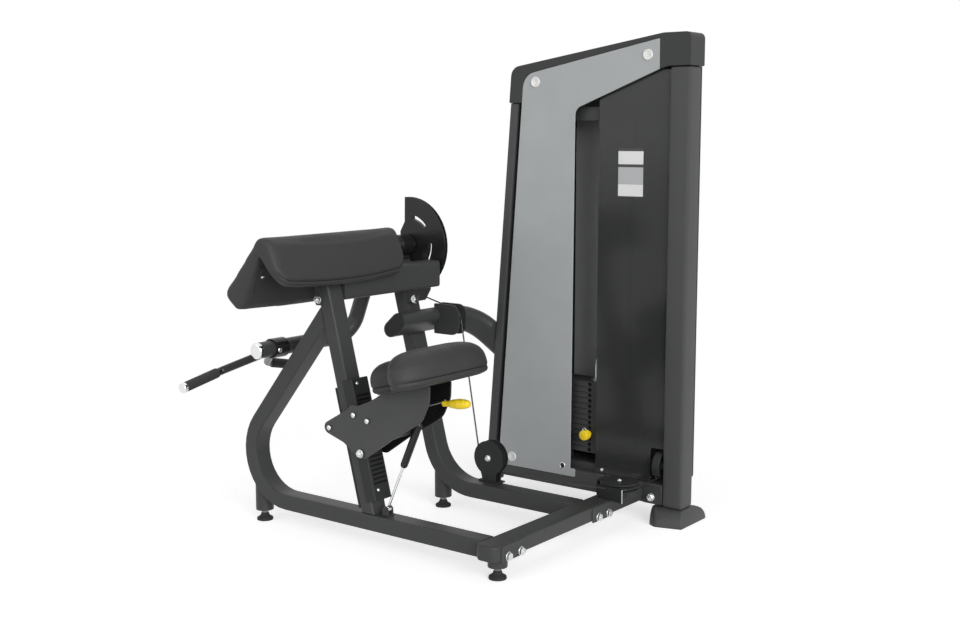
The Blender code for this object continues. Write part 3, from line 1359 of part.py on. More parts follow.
def cable_points():
    """The cable's centre line: cam, upper, floor, corner and tower pulleys, then over
    the two top pulleys to the place where it drops to the stack."""
    cam = Vector((PIVOT_X, PIVOT_Z))
    upper = Vector((UPPER_PULLEY[0], UPPER_PULLEY[2]))
    floor = Vector((FLOOR_PULLEY[0], FLOOR_PULLEY[2]))
    first = crossed_tangent(cam, upper, CAM_PITCH, UPPER_PITCH, 1)
    second = crossed_tangent(upper, floor, UPPER_PITCH, FLOOR_PITCH, -1)
    up = math.pi / 2
    points = [Vector((0, CAM_Y, 0)) + side_point(cam, CAM_PITCH, first - up)]
    y = UPPER_PULLEY[1]
    for place in arc(upper, UPPER_PITCH, first + up, second + up, 6):
        points.append(Vector((place.x, y, place.y)))
    y = FLOOR_PULLEY[1]
    for place in arc(floor, FLOOR_PITCH, second - up + 2 * math.pi, 3 * math.pi / 2, 6):
        points.append(Vector((place.x, y, place.y)))
    z = cable_floor_z()
    corner = Vector(CORNER_PULLEY)
    gap = corner - Vector((floor.x, y))
    heading = math.atan2(gap.y, gap.x) - math.asin(CORNER_PITCH / gap.length)
    for place in arc(corner, CORNER_PITCH, heading - up, 0.0, 6):
        points.append(Vector((place.x, place.y, z)))
    x = column_cable_x()
    for place in arc((TOWER_PULLEY_Y, z + TOWER_PITCH), TOWER_PITCH, -up, 0.0, 6):
        points.append(Vector((x, place.x, place.y)))
    first_x, second_x = top_pulley_x()
    y = stack_y()
    for place in arc((first_x, TOP_PULLEY_Z), TOP_PITCH, 0.0, up, 6):
        points.append(Vector((place.x, y, place.y)))
    for place in arc((second_x, TOP_PULLEY_Z), TOP_PITCH, up, math.pi, 6):
        points.append(Vector((place.x, y, place.y)))
    return points


def crossed_tangent(start, end, start_radius, end_radius, side):
    """Direction of the line that passes between two circles."""
    gap = end - start
    return math.atan2(gap.y, gap.x) + side * math.asin((start_radius + end_radius) / gap.length)


def side_point(centre, radius, angle):
    return Vector((centre.x + radius * math.cos(angle), 0.0, centre.y + radius * math.sin(angle)))


def cables(root):
    tube("cable_run", cable_points(), CABLE_RADIUS, "rubber", root, sides=2)
    top = stack_top() + STEM_LENGTH + GAP
    rod("cable_drop", CABLE_RADIUS, (STACK_X, stack_y(), top), TOP_PULLEY_Z - GAP - top, "Z",
        "rubber", root, 10)


# Tower

def tower_column(root):
    right = COLUMN_FRONT + COLUMN_WIDTH
    column = box("tower_column", (COLUMN_FRONT, TOWER_FRONT, BASE_HEIGHT + GAP),
                 (right, TOWER_BACK, HEAD_RIGHT_BOTTOM - GAP), "frame", root)
    bevel(column, COLUMN_EDGE, 2)
    x = column_cable_x()
    inner = PULLEY_WIDTH / 2 + 0.001
    z = cable_floor_z() + TOWER_PITCH
    spacer = rod("spacer", AXLE_RADIUS + 0.004, (x + inner, TOWER_PULLEY_Y, z),
                 COLUMN_FRONT + 0.004 - x - inner, "X", "steel", root, 16)
    axle = rod("axle", AXLE_RADIUS, (x - inner - 0.003, TOWER_PULLEY_Y, z), 2 * inner + 0.006,
               "X", "steel", root, 16)
    head = rod("head", AXLE_RADIUS + 0.004, (x - inner - 0.006, TOWER_PULLEY_Y, z), 0.006,
               "X", "steel", root, 16)
    return join(column, spacer, axle, head)


def side_post(root):
    low = RAIL_BOTTOM
    high = HEAD_LEFT_BOTTOM - GAP
    corners = ((side_post_x(low), low), (side_post_x(low) + SIDE_POST_WIDTH, low),
               (side_post_x(high) + SIDE_POST_WIDTH, high), (side_post_x(high), high))
    post = flat_mesh("tower_side_post", [rounded(corners, 0.0)], TOWER_DEPTH, "frame", root,
                     SIDE, TOWER_MIDDLE, TUBE_EDGE)
    return join(post, stub("stub", tower_foot_x(), TOWER_MIDDLE, low + STUB_INTO, root))


def tower_rail(root):
    left = side_post_x(RAIL_BOTTOM) + SIDE_POST_WIDTH + GAP
    left_top = side_post_x(TOWER_RAIL_TOP) + SIDE_POST_WIDTH + GAP
    right = COLUMN_FRONT - GAP
    corners = ((left, RAIL_BOTTOM), (right, RAIL_BOTTOM), (right, TOWER_RAIL_TOP),
               (left_top, TOWER_RAIL_TOP))
    rail = flat_mesh("tower_rail", [rounded(corners, 0.0)], TOWER_DEPTH, "frame", root, SIDE,
                     TOWER_MIDDLE, 0.004)
    seat = rod("seat", STUB_RADIUS + GAP, (tower_foot_x(), TOWER_MIDDLE, STUB_BOTTOM),
               RAIL_BOTTOM + STUB_INTO + GAP - STUB_BOTTOM, "Z", "steel", root, 28)
    return cut(rail, seat)


def tower_base(root):
    """Flared foot under the column."""
    bm = bmesh.new()
    bmesh.ops.create_cube(bm, size=1.0)
    low = Vector((BASE_LEFT, BASE_FRONT, 0.0))
    high = Vector((BASE_RIGHT, BASE_BACK, BASE_HEIGHT))
    bmesh.ops.scale(bm, vec=high - low, verts=bm.verts[:])
    top = [vert for vert in bm.verts if vert.co.z > 0]
    bmesh.ops.scale(bm, vec=(BASE_TAPER_X, BASE_TAPER_Y, 1.0), verts=top)
    base = add("tower_base", mesh_from(bm, "tower_base"), "frame", root, (low + high) / 2)
    return bevel(base, 0.012, 3)


def tower_head(root):
    """Cap that reaches down over the side post and the column like a C."""
    left = HEAD_MARGIN
    start = side_post_x(HEAD_LEFT_BOTTOM) - left
    corner = side_post_x(HEAD_LEFT_TOP) - left
    arm_left = COLUMN_FRONT - left
    inner_x = PANEL_ARM_LOW[0] + GAP
    corners = [(start, HEAD_LEFT_BOTTOM), (panel_x(HEAD_LEFT_BOTTOM) - GAP, HEAD_LEFT_BOTTOM),
               (panel_x(PANEL_LEFT_TOP) - GAP, PANEL_LEFT_TOP + GAP),
               (PANEL_ARM_HIGH[0] + GAP, PANEL_ARM_HIGH[1] + GAP),
               (inner_x, PANEL_ARM_LOW[1]), (arm_left, HEAD_RIGHT_BOTTOM),
               (HEAD_RIGHT, HEAD_RIGHT_BOTTOM), (HEAD_RIGHT, HEAD_TOP), (HEAD_FLAT, HEAD_TOP),
               (corner, HEAD_LEFT_TOP)]
    radii = (0.004, 0.0, PANEL_CORNER, 0.0, 0.0, 0.0, 0.004, 0.018, HEAD_SLOPE_ROUND, HEAD_CORNER)
    middle = (HEAD_FRONT + HEAD_BACK) / 2
    return flat("tower_head", [rounded(corners, radii, 5)], HEAD_BACK - HEAD_FRONT, "frame",
                root, SIDE, middle)


def front_panel(root):
    """Grey sheet with a long leg and an arm across the top."""
    tab_x = PANEL_INNER_FOOT + PANEL_TAB
    corners = [(panel_x(PANEL_BOTTOM), PANEL_BOTTOM), (tab_x, PANEL_BOTTOM),
               (tab_x, PANEL_TAB_TOP), (PANEL_INNER_FOOT, PANEL_TAB_TOP), PANEL_INNER_TOP,
               PANEL_ARM_LOW, PANEL_ARM_HIGH, (panel_x(PANEL_LEFT_TOP), PANEL_LEFT_TOP)]
    outline = rounded(corners, (0.004, 0.006, 0.006, 0.0, 0.030, 0.002, 0.002, PANEL_CORNER), 5)
    middle = TOWER_FRONT - GAP - PANEL_THICK / 2
    return flat("front_panel", [outline], PANEL_THICK, "panel_grey", root, SIDE, middle)


def shield(root):
    """Smoked sheet in front of the stack, notched round the lower pulley."""
    low = TOWER_RAIL_TOP + GAP
    right = COLUMN_FRONT - GAP
    notch = right - SHIELD_NOTCH_WIDTH
    high = SHIELD_TOP
    corners = [(SHIELD_LEFT, low), (notch, low), (notch, SHIELD_NOTCH_TOP),
               (right, SHIELD_NOTCH_TOP), (right, high), (SHIELD_LEFT, high)]
    return flat("shield", [rounded(corners, (0.004, 0.0, 0.008, 0.0, 0.0, 0.0), 3)],
                SHIELD_THICK, "smoked", root, SIDE, SHIELD_Y)


def back_cover(root):
    """Sheet tray on the back of the tower, open towards the stack."""
    low = TOWER_RAIL_TOP + GAP
    front = TOWER_BACK + GAP
    right = COLUMN_FRONT + COLUMN_WIDTH / 2

    def tray(wall):
        left_foot, left_top = (side_post_x(z) + COVER_INSET + wall for z in (low, COVER_TOP))
        return [(left_foot, low + wall), (right - wall, low + wall),
                (right - wall, COVER_TOP - wall), (left_top, COVER_TOP - wall)]

    depth = COVER_BACK - front
    cover = flat_mesh("back_cover", [rounded(tray(0.0), 0.012, 3)], depth, "black_plastic",
                      root, SIDE, front + depth / 2)
    hollow = flat_mesh("hollow", [rounded(tray(COVER_THICK), 0.010, 3)], depth, "steel", root,
                       SIDE, front + depth / 2 - COVER_THICK)
    half = STACK_BASE_WIDTH / 2 + COVER_CLEAR
    base = box("base", (STACK_X - half, front - 0.01, low - 0.01),
               (STACK_X + half, stack_y() + PLATE_DEPTH / 2 + COVER_CLEAR, low + 0.01),
               "steel", root)
    middle = (PANEL_INNER_FOOT + right) / 2
    near_side = box("near_side", (SIDE_POST_FOOT, front - 0.01, HEAD_LEFT_BOTTOM - GAP),
                    (middle, HEAD_BACK + GAP, HEAD_TOP), "steel", root)
    far_side = box("far_side", (middle - 0.01, front - 0.01, HEAD_RIGHT_BOTTOM - GAP),
                   (HEAD_RIGHT, HEAD_BACK + GAP, HEAD_TOP), "steel", root)
    return cut(cover, hollow, base, near_side, far_side)


def top_beam(root):
    """Beam under the head that carries the guide rods and the upper pulleys."""
    low = TOP_BEAM_BOTTOM
    high = low + TOP_BEAM_HEIGHT
    right = COLUMN_FRONT - GAP
    inner = SIDE_POST_WIDTH + GAP
    corners = ((side_post_x(low) + inner, low), (right, low), (right, high),
               (side_post_x(high) + inner, high))
    middle = (TOP_BEAM_FRONT + TOP_BEAM_BACK) / 2
    beam = flat_mesh("top_beam", [rounded(corners, 0.0)], TOP_BEAM_BACK - TOP_BEAM_FRONT,
                     "frame", root, SIDE, middle)
    for x in (column_cable_x(), STACK_X):
        cut(beam, rod("hole", CABLE_HOLE, (x, stack_y(), low - 0.01), TOP_BEAM_HEIGHT + 0.02,
                      "Z", "steel", root, 16))
    return beam


# Weight stack

def stack_base(root):
    """Block on the tower's rail with two rubber buffers."""
    y = stack_y()
    half = STACK_BASE_WIDTH / 2
    low = TOWER_RAIL_TOP + GAP
    base = box("stack_base", (STACK_X - half, y - PLATE_DEPTH / 2, low),
               (STACK_X + half, y + PLATE_DEPTH / 2, low + STACK_BASE_HEIGHT), "cast_iron", root)
    for side in (-1, 1):
        join(base, rod("buffer", 0.022, (STACK_X + side * ROD_SPREAD, y, low + 0.020),
                       BUFFER_TOP - GAP - low - 0.020, "Z", "rubber", root, 20))
    return base


def guide_rods(root):
    for name, side in (("left", -1), ("right", 1)):
        rod("guide_rod_" + name, ROD_RADIUS, (STACK_X + side * ROD_SPREAD, stack_y(), BUFFER_TOP),
            TOP_BEAM_BOTTOM - GAP - BUFFER_TOP, "Z", "chrome", root, 16)


def plate_block(name, low, count, axis_empty):
    """Weight plates held a little apart on a narrow core, with holes for the rods."""
    y = stack_y()
    middle = Vector((STACK_X, y, 0.0))
    bm = bmesh.new()
    for index in range(count):
        made = bmesh.ops.create_cube(bm, size=1.0)["verts"]
        bmesh.ops.scale(bm, vec=(PLATE_WIDTH, PLATE_DEPTH, PLATE_THICK), verts=made)
        bmesh.ops.translate(bm, vec=(0, 0, index * PLATE_PITCH + PLATE_THICK / 2), verts=made)
    block = add(name, mesh_from(bm, name), "cast_iron", axis_empty, middle + Vector((0, 0, low)))
    core_half = Vector((0.070, PLATE_DEPTH / 2 - 0.008, 0.0))
    core = box("core", middle - core_half + Vector((0, 0, low + 0.002)),
               middle + core_half + Vector((0, 0, low + (count - 1) * PLATE_PITCH + 0.010)),
               "cast_iron", axis_empty)
    join(block, core)
    for side in (-1, 1):
        hole = rod("hole", ROD_RADIUS + ROD_CLEAR, (STACK_X + side * ROD_SPREAD, y, low - 0.01),
                   count * PLATE_PITCH + 0.02, "Z", "steel", axis_empty, 10)
        cut(block, hole)
    return block


def stack_low():
    return BUFFER_TOP


def lifted_low():
    return stack_low() + PLATES_RESTING * PLATE_PITCH


def stack_top():
    return lifted_low() + (PLATES_LIFTED - 1) * PLATE_PITCH + PLATE_THICK


def weights(root, stack_axis):
    """Plates under the selector pin rest on the buffers, those above it are lifted."""
    plate_block("resting_plates", stack_low(), PLATES_RESTING, root)
    lifted = plate_block("lifted_plates", lifted_low(), PLATES_LIFTED, stack_axis)
    top = stack_top()
    y = stack_y()
    join(lifted, rod("stem", STEM_RADIUS, (STACK_X, y, top - 0.004), STEM_LENGTH + 0.004, "Z",
                     "chrome", stack_axis, 16))
    z = lifted_low() + PLATE_THICK / 2
    front = y - PLATE_DEPTH / 2
    cut(lifted, rod("pin_hole", PIN_ROD + RUNNING, (STACK_X, front - 0.01, z), PIN_DEPTH + 0.012,
                    "Y", "steel", stack_axis, 16))


def selector_pin(pin_axis):
    """Round knob on a pin that goes into the lowest lifted plate."""
    z = lifted_low() + PLATE_THICK / 2
    front = stack_y() - PLATE_DEPTH / 2
    deep = PIN_DEPTH - 0.002
    profile = ((0.0, deep), (PIN_ROD, deep), (PIN_ROD, -0.004), (0.012, -0.006),
               (0.012, -PIN_STICK_OUT + 0.018), (PIN_KNOB, -PIN_STICK_OUT + 0.016),
               (PIN_KNOB, -PIN_STICK_OUT + 0.002), (PIN_KNOB - 0.003, -PIN_STICK_OUT),
               (0.0, -PIN_STICK_OUT))
    return turned("selector_pin", profile, "Y", (STACK_X, front, z), "yellow", pin_axis, 20)


# Everything is built here

def build_frame(root):
    spine_tube(root)
    seat_post(root)
    outer_leg(root)
    cross_bar(root)
    upper_beam(root)
    levelling_feet(root)
    oval_tube(root)
    oval_cap(root)
    adjust_rack(root)
    post_strip(root)
    pad_bracket(root)
    arm_pad(root)
    pivot_bearing(root)
    spring_bracket(root)


def build_seat(root):
    seat_axis = empty("seat_axis", (POST_FOOT, 0, RAIL_TOP), root)
    carriage(seat_axis)
    carriage_block(seat_axis)
    seat_pad(seat_axis)
    x, z = roller_place()
    front_roller(empty("roller_axis", (x, 0, z), seat_axis))
    release_lever(empty("lever_axis", (LATCH[0], 0, LATCH[1]), seat_axis))
    spring_axis = empty("spring_axis", (SPRING_LOW[0], 0, SPRING_LOW[1]), root)
    gas_spring(spring_axis, empty("cylinder_axis", (SPRING_LOW[0], 0, SPRING_LOW[1]), spring_axis))


def build_arm(root):
    arm_axis = empty("arm_axis", (PIVOT_X, 0, PIVOT_Z), root)
    pivot_shaft(arm_axis)
    cam_plate(arm_axis)
    swing_arm(arm_axis)
    roll_cap(arm_axis)
    x, z = roll_axis()
    handle_axis = empty("handle_axis", (x, 0, z), arm_axis)
    handle_bar(handle_axis)
    grips(handle_axis)


def build_cable(root):
    upper_pulley_housing(root)
    floor_pulley_bracket(root)
    corner_pulley_bracket(root)
    top_pulley_bracket(root)
    first, second = top_pulley_x()
    low = cable_floor_z()
    places = (("upper_pulley", UPPER_PULLEY, "Y", UPPER_PITCH),
              ("floor_pulley", FLOOR_PULLEY, "Y", FLOOR_PITCH),
              ("corner_pulley", (*CORNER_PULLEY, low), "Z", CORNER_PITCH),
              ("tower_pulley", (column_cable_x(), TOWER_PULLEY_Y, low + TOWER_PITCH), "X", TOWER_PITCH),
              ("top_pulley_right", (first, stack_y(), TOP_PULLEY_Z), "Y", TOP_PITCH),
              ("top_pulley_left", (second, stack_y(), TOP_PULLEY_Z), "Y", TOP_PITCH))
    for name, place, axis, pitch in places:
        pulley(name, place, axis, pitch, empty(name + "_axis", place, root))
    cables(root)


def build_tower(root):
    tower_column(root)
    side_post(root)
    tower_rail(root)
    tower_base(root)
    tower_head(root)
    front_panel(root)
    shield(root)
    back_cover(root)
    top_beam(root)
    stack_base(root)
    guide_rods(root)
    stack_axis = empty("stack_axis", (STACK_X, stack_y(), stack_low()), root)
    weights(root, stack_axis)
    selector_pin(empty("pin_axis", (STACK_X, stack_y(), stack_low()), stack_axis))


def centre_on_footprint(root):
    """Moves the machine so that the origin is the middle of its footprint."""
    bpy.context.view_layer.update()
    depsgraph = bpy.context.evaluated_depsgraph_get()
    corners = []
    for obj in PARTS.objects:
        if obj.type != "EMPTY":
            solid = obj.evaluated_get(depsgraph).to_mesh()
            corners += [obj.matrix_world @ vert.co for vert in solid.vertices]
    for axis in (0, 1):
        values = [corner[axis] for corner in corners]
        root.location[axis] = -(min(values) + max(values)) / 2


def build():
    root = empty("machine", (0, 0, 0))
    build_frame(root)
    build_seat(root)
    build_arm(root)
    build_cable(root)
    build_tower(root)
    centre_on_footprint(root)


build()
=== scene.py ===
"""Preacher curl machine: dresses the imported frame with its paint, upholstery, hardware,
pulleys, panels and weight stack, and sets the studio round it."""
import json
import math

import bmesh
import bpy
from bpy.props import FloatProperty, FloatVectorProperty, IntProperty, PointerProperty
from mathutils import Matrix, Vector
from mathutils.bvhtree import BVHTree
from mathutils.kdtree import KDTree


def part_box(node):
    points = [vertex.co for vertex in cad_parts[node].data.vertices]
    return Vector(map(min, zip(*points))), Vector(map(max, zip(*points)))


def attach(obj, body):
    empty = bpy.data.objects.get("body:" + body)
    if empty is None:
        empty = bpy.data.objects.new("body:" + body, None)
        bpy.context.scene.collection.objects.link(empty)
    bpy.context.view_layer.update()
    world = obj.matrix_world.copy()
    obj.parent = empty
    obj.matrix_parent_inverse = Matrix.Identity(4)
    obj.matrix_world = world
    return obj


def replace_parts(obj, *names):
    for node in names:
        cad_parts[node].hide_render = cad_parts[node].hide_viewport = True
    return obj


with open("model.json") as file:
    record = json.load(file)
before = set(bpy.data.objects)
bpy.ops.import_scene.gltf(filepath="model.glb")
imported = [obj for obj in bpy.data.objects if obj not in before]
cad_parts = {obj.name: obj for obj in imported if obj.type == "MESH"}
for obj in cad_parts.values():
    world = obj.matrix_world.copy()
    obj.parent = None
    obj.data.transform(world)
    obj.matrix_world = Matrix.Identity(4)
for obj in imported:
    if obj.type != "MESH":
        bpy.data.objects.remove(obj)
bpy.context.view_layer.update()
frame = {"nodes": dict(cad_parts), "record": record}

bl_info = {
    "name": "Preacher Curl Machine",
    "version": (1, 0, 0),
    "blender": (4, 5, 0),
    "location": "View3D > Sidebar > Curl Machine",
    "description": "Builds the finish, upholstery and fittings of a preacher curl machine",
    "category": "Add Mesh",
}

NODES = frame["nodes"]
BODY_OF = {node: body for body, nodes in frame["record"]["behaviour"]["bodies"].items()
           for node in nodes}

# The machine is laid out from its cross bar, the user's middle plane and the floor
BAR_FRONT = -0.025
POST_HALF = 0.031
MACHINE = Vector((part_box("cross_bar")[0][0] - BAR_FRONT,
                  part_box("seat_post")[0][1] + POST_HALF, 0.0))
LEAN = math.radians(14.5)
UP_POST = Vector((-math.sin(LEAN), 0.0, math.cos(LEAN)))
OUT_POST = Vector((math.cos(LEAN), 0.0, math.sin(LEAN)))
CLEAR = 0.0003          # left between pieces that touch
SHARP = math.radians(35)
UP, NEAR = (0, 0, 1), (0, -1, 0)


def at(x, y, z):
    """A place given in the machine's own layout, in the frame's coordinates."""
    return MACHINE + Vector((x, y, z))


def front_of(name):
    """How far back a node's front face stands, in the machine's own layout."""
    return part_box(name)[0].y - MACHINE.y


# Sizes and colours

def colour_of(name, default, description):
    return FloatVectorProperty(name=name, subtype="COLOR", size=3, min=0, max=1,
                               default=default, description=description)


def length_of(name, default, description):
    return FloatProperty(name=name, unit="LENGTH", default=default, description=description)


def amount_of(name, default, description, **limits):
    return FloatProperty(name=name, default=default, min=0, description=description, **limits)


def count_of(name, default, description):
    return IntProperty(name=name, default=default, min=1, description=description)


class CurlFrameSettings(bpy.types.PropertyGroup):
    paint: colour_of("Paint", (0.045, 0.046, 0.046), "Colour of the powder coated tubes")
    tower_paint: colour_of("Tower paint", (0.062, 0.063, 0.063), "Colour of the tower's posts")
    edge: length_of("Edge", 0.0010, "Rounding of cut and moulded edges")
    peel: amount_of("Orange peel", 0.10, "Strength of the paint's fine waviness", max=1)


class CurlPadSettings(bpy.types.PropertyGroup):
    vinyl: colour_of("Vinyl", (0.038, 0.038, 0.039), "Colour of the upholstery")
    swell: length_of("Swell", 0.003, "Most that the foam pushes the vinyl out")
    voxel: length_of("Cloth mesh", 0.006, "Size of the cloth's mesh")
    thread: length_of("Thread", 0.0011, "Radius of the seams' thread")
    sink: length_of("Seam depth", 0.0034, "How far a seam draws the vinyl in")


class CurlTowerSettings(bpy.types.PropertyGroup):
    panel: colour_of("Panel", (0.378, 0.394, 0.400), "Colour of the front panel")
    shield: colour_of("Shield", (0.036, 0.037, 0.037), "Tint of the clear shield")
    shield_alpha: amount_of("Shield density", 0.80, "How much it hides what is behind it", max=1)
    button: length_of("Button", 0.0165, "Radius of the panel's plastic buttons")


class CurlStackSettings(bpy.types.PropertyGroup):
    lifted: count_of("Lifted plates", 10, "Plates above the selector pin")
    resting: count_of("Resting plates", 3, "Plates below the selector pin")
    pitch: length_of("Pitch", 0.018, "Height from one plate to the next")
    thickness: length_of("Thickness", 0.0172, "Thickness of one plate")


class CurlStageSettings(bpy.types.PropertyGroup):
    floor: colour_of("Floor", (0.80, 0.80, 0.80), "Colour of the studio floor")
    key: amount_of("Key light", 2.8, "Strength of the main soft light")
    sky: amount_of("Sky", 0.26, "Strength of the even studio light")


# Shader effects that several finishes share

def effect(name, inputs, outputs):
    """An empty node group with named sockets; values are floats unless a kind is given."""
    tree = bpy.data.node_groups.new(name, "ShaderNodeTree")
    for label, value in inputs:
        kind = "NodeSocketColor" if isinstance(value, tuple) else "NodeSocketFloat"
        socket = tree.interface.new_socket(label, in_out="INPUT", socket_type=kind)
        socket.default_value = (*value, 1.0) if isinstance(value, tuple) else value
    for label in outputs:
        kind = "NodeSocketColor" if label == "Colour" else "NodeSocketFloat"
        tree.interface.new_socket(label, in_out="OUTPUT", socket_type=kind)
    start = tree.nodes.new("NodeGroupInput")
    end = tree.nodes.new("NodeGroupOutput")
    return tree, start.outputs, end.inputs


def adjusted(thing, **values):
    """The thing with its properties set."""
    for key, value in values.items():
        setattr(thing, key, value)
    return thing


def node(tree, kind, links=(), **values):
    """Adds a node, sets its properties and wires sockets into its inputs."""
    made = adjusted(tree.nodes.new(kind), **values)
    for label, source in links:
        socket = made.inputs[label]
        if isinstance(source, bpy.types.NodeSocket):
            tree.links.new(source, socket)
        else:
            socket.default_value = source
    return made


def maths(tree, operation, first, second=0.0):
    made = node(tree, "ShaderNodeMath", ((0, first), (1, second)), operation=operation)
    return made.outputs[0]


def remap(tree, value, low, high, to_low=0.0, to_high=1.0):
    made = node(tree, "ShaderNodeMapRange", (("Value", value), ("From Min", low),
                                             ("From Max", high), ("To Min", to_low),
                                             ("To Max", to_high)))
    return made.outputs[0]


def place_in(tree, stretch=(1.0, 1.0, 1.0)):
    coordinates = node(tree, "ShaderNodeTexCoord")
    return node(tree, "ShaderNodeMapping", (("Vector", coordinates.outputs["Object"]),
                                            ("Scale", stretch))).outputs[0]


def noise(tree, scale, detail=2.0, where=None, roughness=0.5):
    where = where or place_in(tree)
    return node(tree, "ShaderNodeTexNoise", (("Vector", where), ("Scale", scale),
                                             ("Detail", detail),
                                             ("Roughness", roughness))).outputs["Fac"]


def make_effects():
    """Peel, leather, brushed, scuff and dust, each as one group."""
    tree, given, out = effect("Orange peel", (("Size", 260.0),), ("Height", "Shade"))
    tree.links.new(noise(tree, given["Size"], 3.0), out["Height"])
    tree.links.new(remap(tree, noise(tree, 9.0, 3.0), 0.3, 0.7, 0.97, 1.03), out["Shade"])

    tree, given, out = effect("Vinyl grain", (("Size", 620.0),), ("Height", "Shade", "Rough"))
    where = place_in(tree)
    cells = node(tree, "ShaderNodeTexVoronoi", (("Vector", where), ("Scale", given["Size"])),
                 feature="DISTANCE_TO_EDGE").outputs["Distance"]
    creases = remap(tree, cells, 0.0, 0.22)
    fine = noise(tree, maths(tree, "MULTIPLY", given["Size"], 2.4), 2.0, where)
    height = maths(tree, "ADD", creases, maths(tree, "MULTIPLY", fine, 0.35))
    tree.links.new(height, out["Height"])
    tree.links.new(remap(tree, creases, 0.0, 1.0, 0.86, 1.03), out["Shade"])
    tree.links.new(remap(tree, noise(tree, 14.0, 3.0, where), 0.3, 0.7, -0.04, 0.05), out["Rough"])

    tree, given, out = effect("Brushed", (("Size", 40.0),), ("Height", "Rough"))
    streaks = noise(tree, given["Size"], 3.0, place_in(tree, (1.0, 1.0, 30.0)))
    tree.links.new(streaks, out["Height"])
    tree.links.new(remap(tree, streaks, 0.3, 0.7, -0.06, 0.06), out["Rough"])

    tree, given, out = effect("Scuffs", (("Amount", 0.3),), ("Mask",))
    where = place_in(tree, (1.0, 1.0, 2.6))
    patches = remap(tree, noise(tree, 5.0, 4.0, where), 0.50, 0.72)
    threads = remap(tree, noise(tree, 85.0, 4.0, where, 0.7), 0.56, 0.70)
    mask = maths(tree, "MULTIPLY", patches, threads)
    tree.links.new(maths(tree, "MULTIPLY", mask, given["Amount"]), out["Mask"])

    tree, given, out = effect("Dust", (("Amount", 0.2),), ("Mask",))
    normal = node(tree, "ShaderNodeNewGeometry").outputs["Normal"]
    up = node(tree, "ShaderNodeSeparateXYZ", (("Vector", normal),)).outputs["Z"]
    facing = remap(tree, up, 0.55, 0.98)
    cloud = remap(tree, noise(tree, 26.0, 5.0), 0.35, 0.70)
    mask = maths(tree, "MULTIPLY", facing, cloud)
    tree.links.new(maths(tree, "MULTIPLY", mask, given["Amount"]), out["Mask"])


def grouped(tree, name, **values):
    made = tree.nodes.new("ShaderNodeGroup")
    made.node_tree = bpy.data.node_groups[name]
    for key, value in values.items():
        made.inputs[key.capitalize()].default_value = value
    return made.outputs


def shaded(tree, colour, shade):
    """The colour made a little lighter or darker by a value near one."""
    vector = node(tree, "ShaderNodeVectorMath", ((0, (*colour,)), ), operation="SCALE")
    tree.links.new(shade, vector.inputs["Scale"])
    return vector.outputs[0]


def mixed(tree, mask, first, second):
    made = node(tree, "ShaderNodeMix", data_type="RGBA")
    tree.links.new(mask, made.inputs["Factor"])
    for socket, value in ((made.inputs[6], first), (made.inputs[7], second)):
        if isinstance(value, bpy.types.NodeSocket):
            tree.links.new(value, socket)
        else:
            socket.default_value = (*value, 1.0)
    return made.outputs[2]


class Finish:
    """A listed material with a Principled shader."""

    def __init__(self, name, colour, roughness, gloss=0.5, metallic=0.0):
        FINISHES[name] = bpy.data.materials.new(name)
        FINISHES[name].use_nodes = True
        self.tree = FINISHES[name].node_tree
        self.shader = self.tree.nodes["Principled BSDF"]
        self.colour = tuple(colour)
        self.roughness = roughness
        for label, value in (("Base Color", (*self.colour, 1.0)), ("Roughness", roughness),
                             ("Specular IOR Level", gloss), ("Metallic", metallic)):
            self.shader.inputs[label].default_value = value

    def paint(self, source):
        self.tree.links.new(source, self.shader.inputs["Base Color"])

    def rough(self, change):
        value = maths(self.tree, "ADD", change, self.roughness)
        self.tree.links.new(value, self.shader.inputs["Roughness"])

    def bump(self, height, strength, distance):
        made = node(self.tree, "ShaderNodeBump", (("Strength", strength),
                                                  ("Distance", distance), ("Height", height)))
        self.tree.links.new(made.outputs[0], self.shader.inputs["Normal"])


FLOOR_LIFT = 0.60           # light added to the floor for the camera alone
FLOOR_FADE = (0.55, 1.7)    # distances over which the floor turns white
FINISHES = {}


def painted(name, colour, roughness, peel, scuffs=0.25, dust=0.10, lighter=1.9, gloss=0.5):
    finish = Finish(name, colour, roughness, gloss)
    tree = finish.tree
    coat = grouped(tree, "Orange peel")
    scuffed = grouped(tree, "Scuffs", amount=scuffs)["Mask"]
    dusty = grouped(tree, "Dust", amount=dust)["Mask"]
    base = shaded(tree, finish.colour, coat["Shade"])
    light = tuple(min(channel * lighter + 0.015, 1.0) for channel in finish.colour)
    base = mixed(tree, scuffed, base, light)
    finish.paint(mixed(tree, dusty, base, (0.36, 0.35, 0.33)))
    finish.rough(maths(tree, "MULTIPLY", maths(tree, "ADD", scuffed, dusty), 0.5))
    finish.bump(coat["Height"], peel, 0.0004)


def moulded(name, colour, roughness, grain=420.0, depth=0.25, gloss=0.5):
    finish = Finish(name, colour, roughness, gloss)
    tree = finish.tree
    coat = grouped(tree, "Orange peel", size=grain)
    dusty = grouped(tree, "Dust", amount=0.04)["Mask"]
    base = shaded(tree, finish.colour, coat["Shade"])
    finish.paint(mixed(tree, dusty, base, (0.34, 0.33, 0.32)))
    finish.rough(maths(tree, "MULTIPLY", dusty, 0.4))
    finish.bump(coat["Height"], depth, 0.0004)


def metal(name, colour, roughness, size=60.0, depth=0.06, metallic=1.0):
    finish = Finish(name, colour, roughness, metallic=metallic)
    tree = finish.tree
    grain = grouped(tree, "Brushed", size=size)
    scuffed = grouped(tree, "Scuffs", amount=0.35)["Mask"]
    dark = tuple(channel * 0.45 for channel in finish.colour)
    finish.paint(mixed(tree, scuffed, finish.colour, dark))
    finish.rough(grain["Rough"])
    finish.bump(grain["Height"], depth, 0.0003)


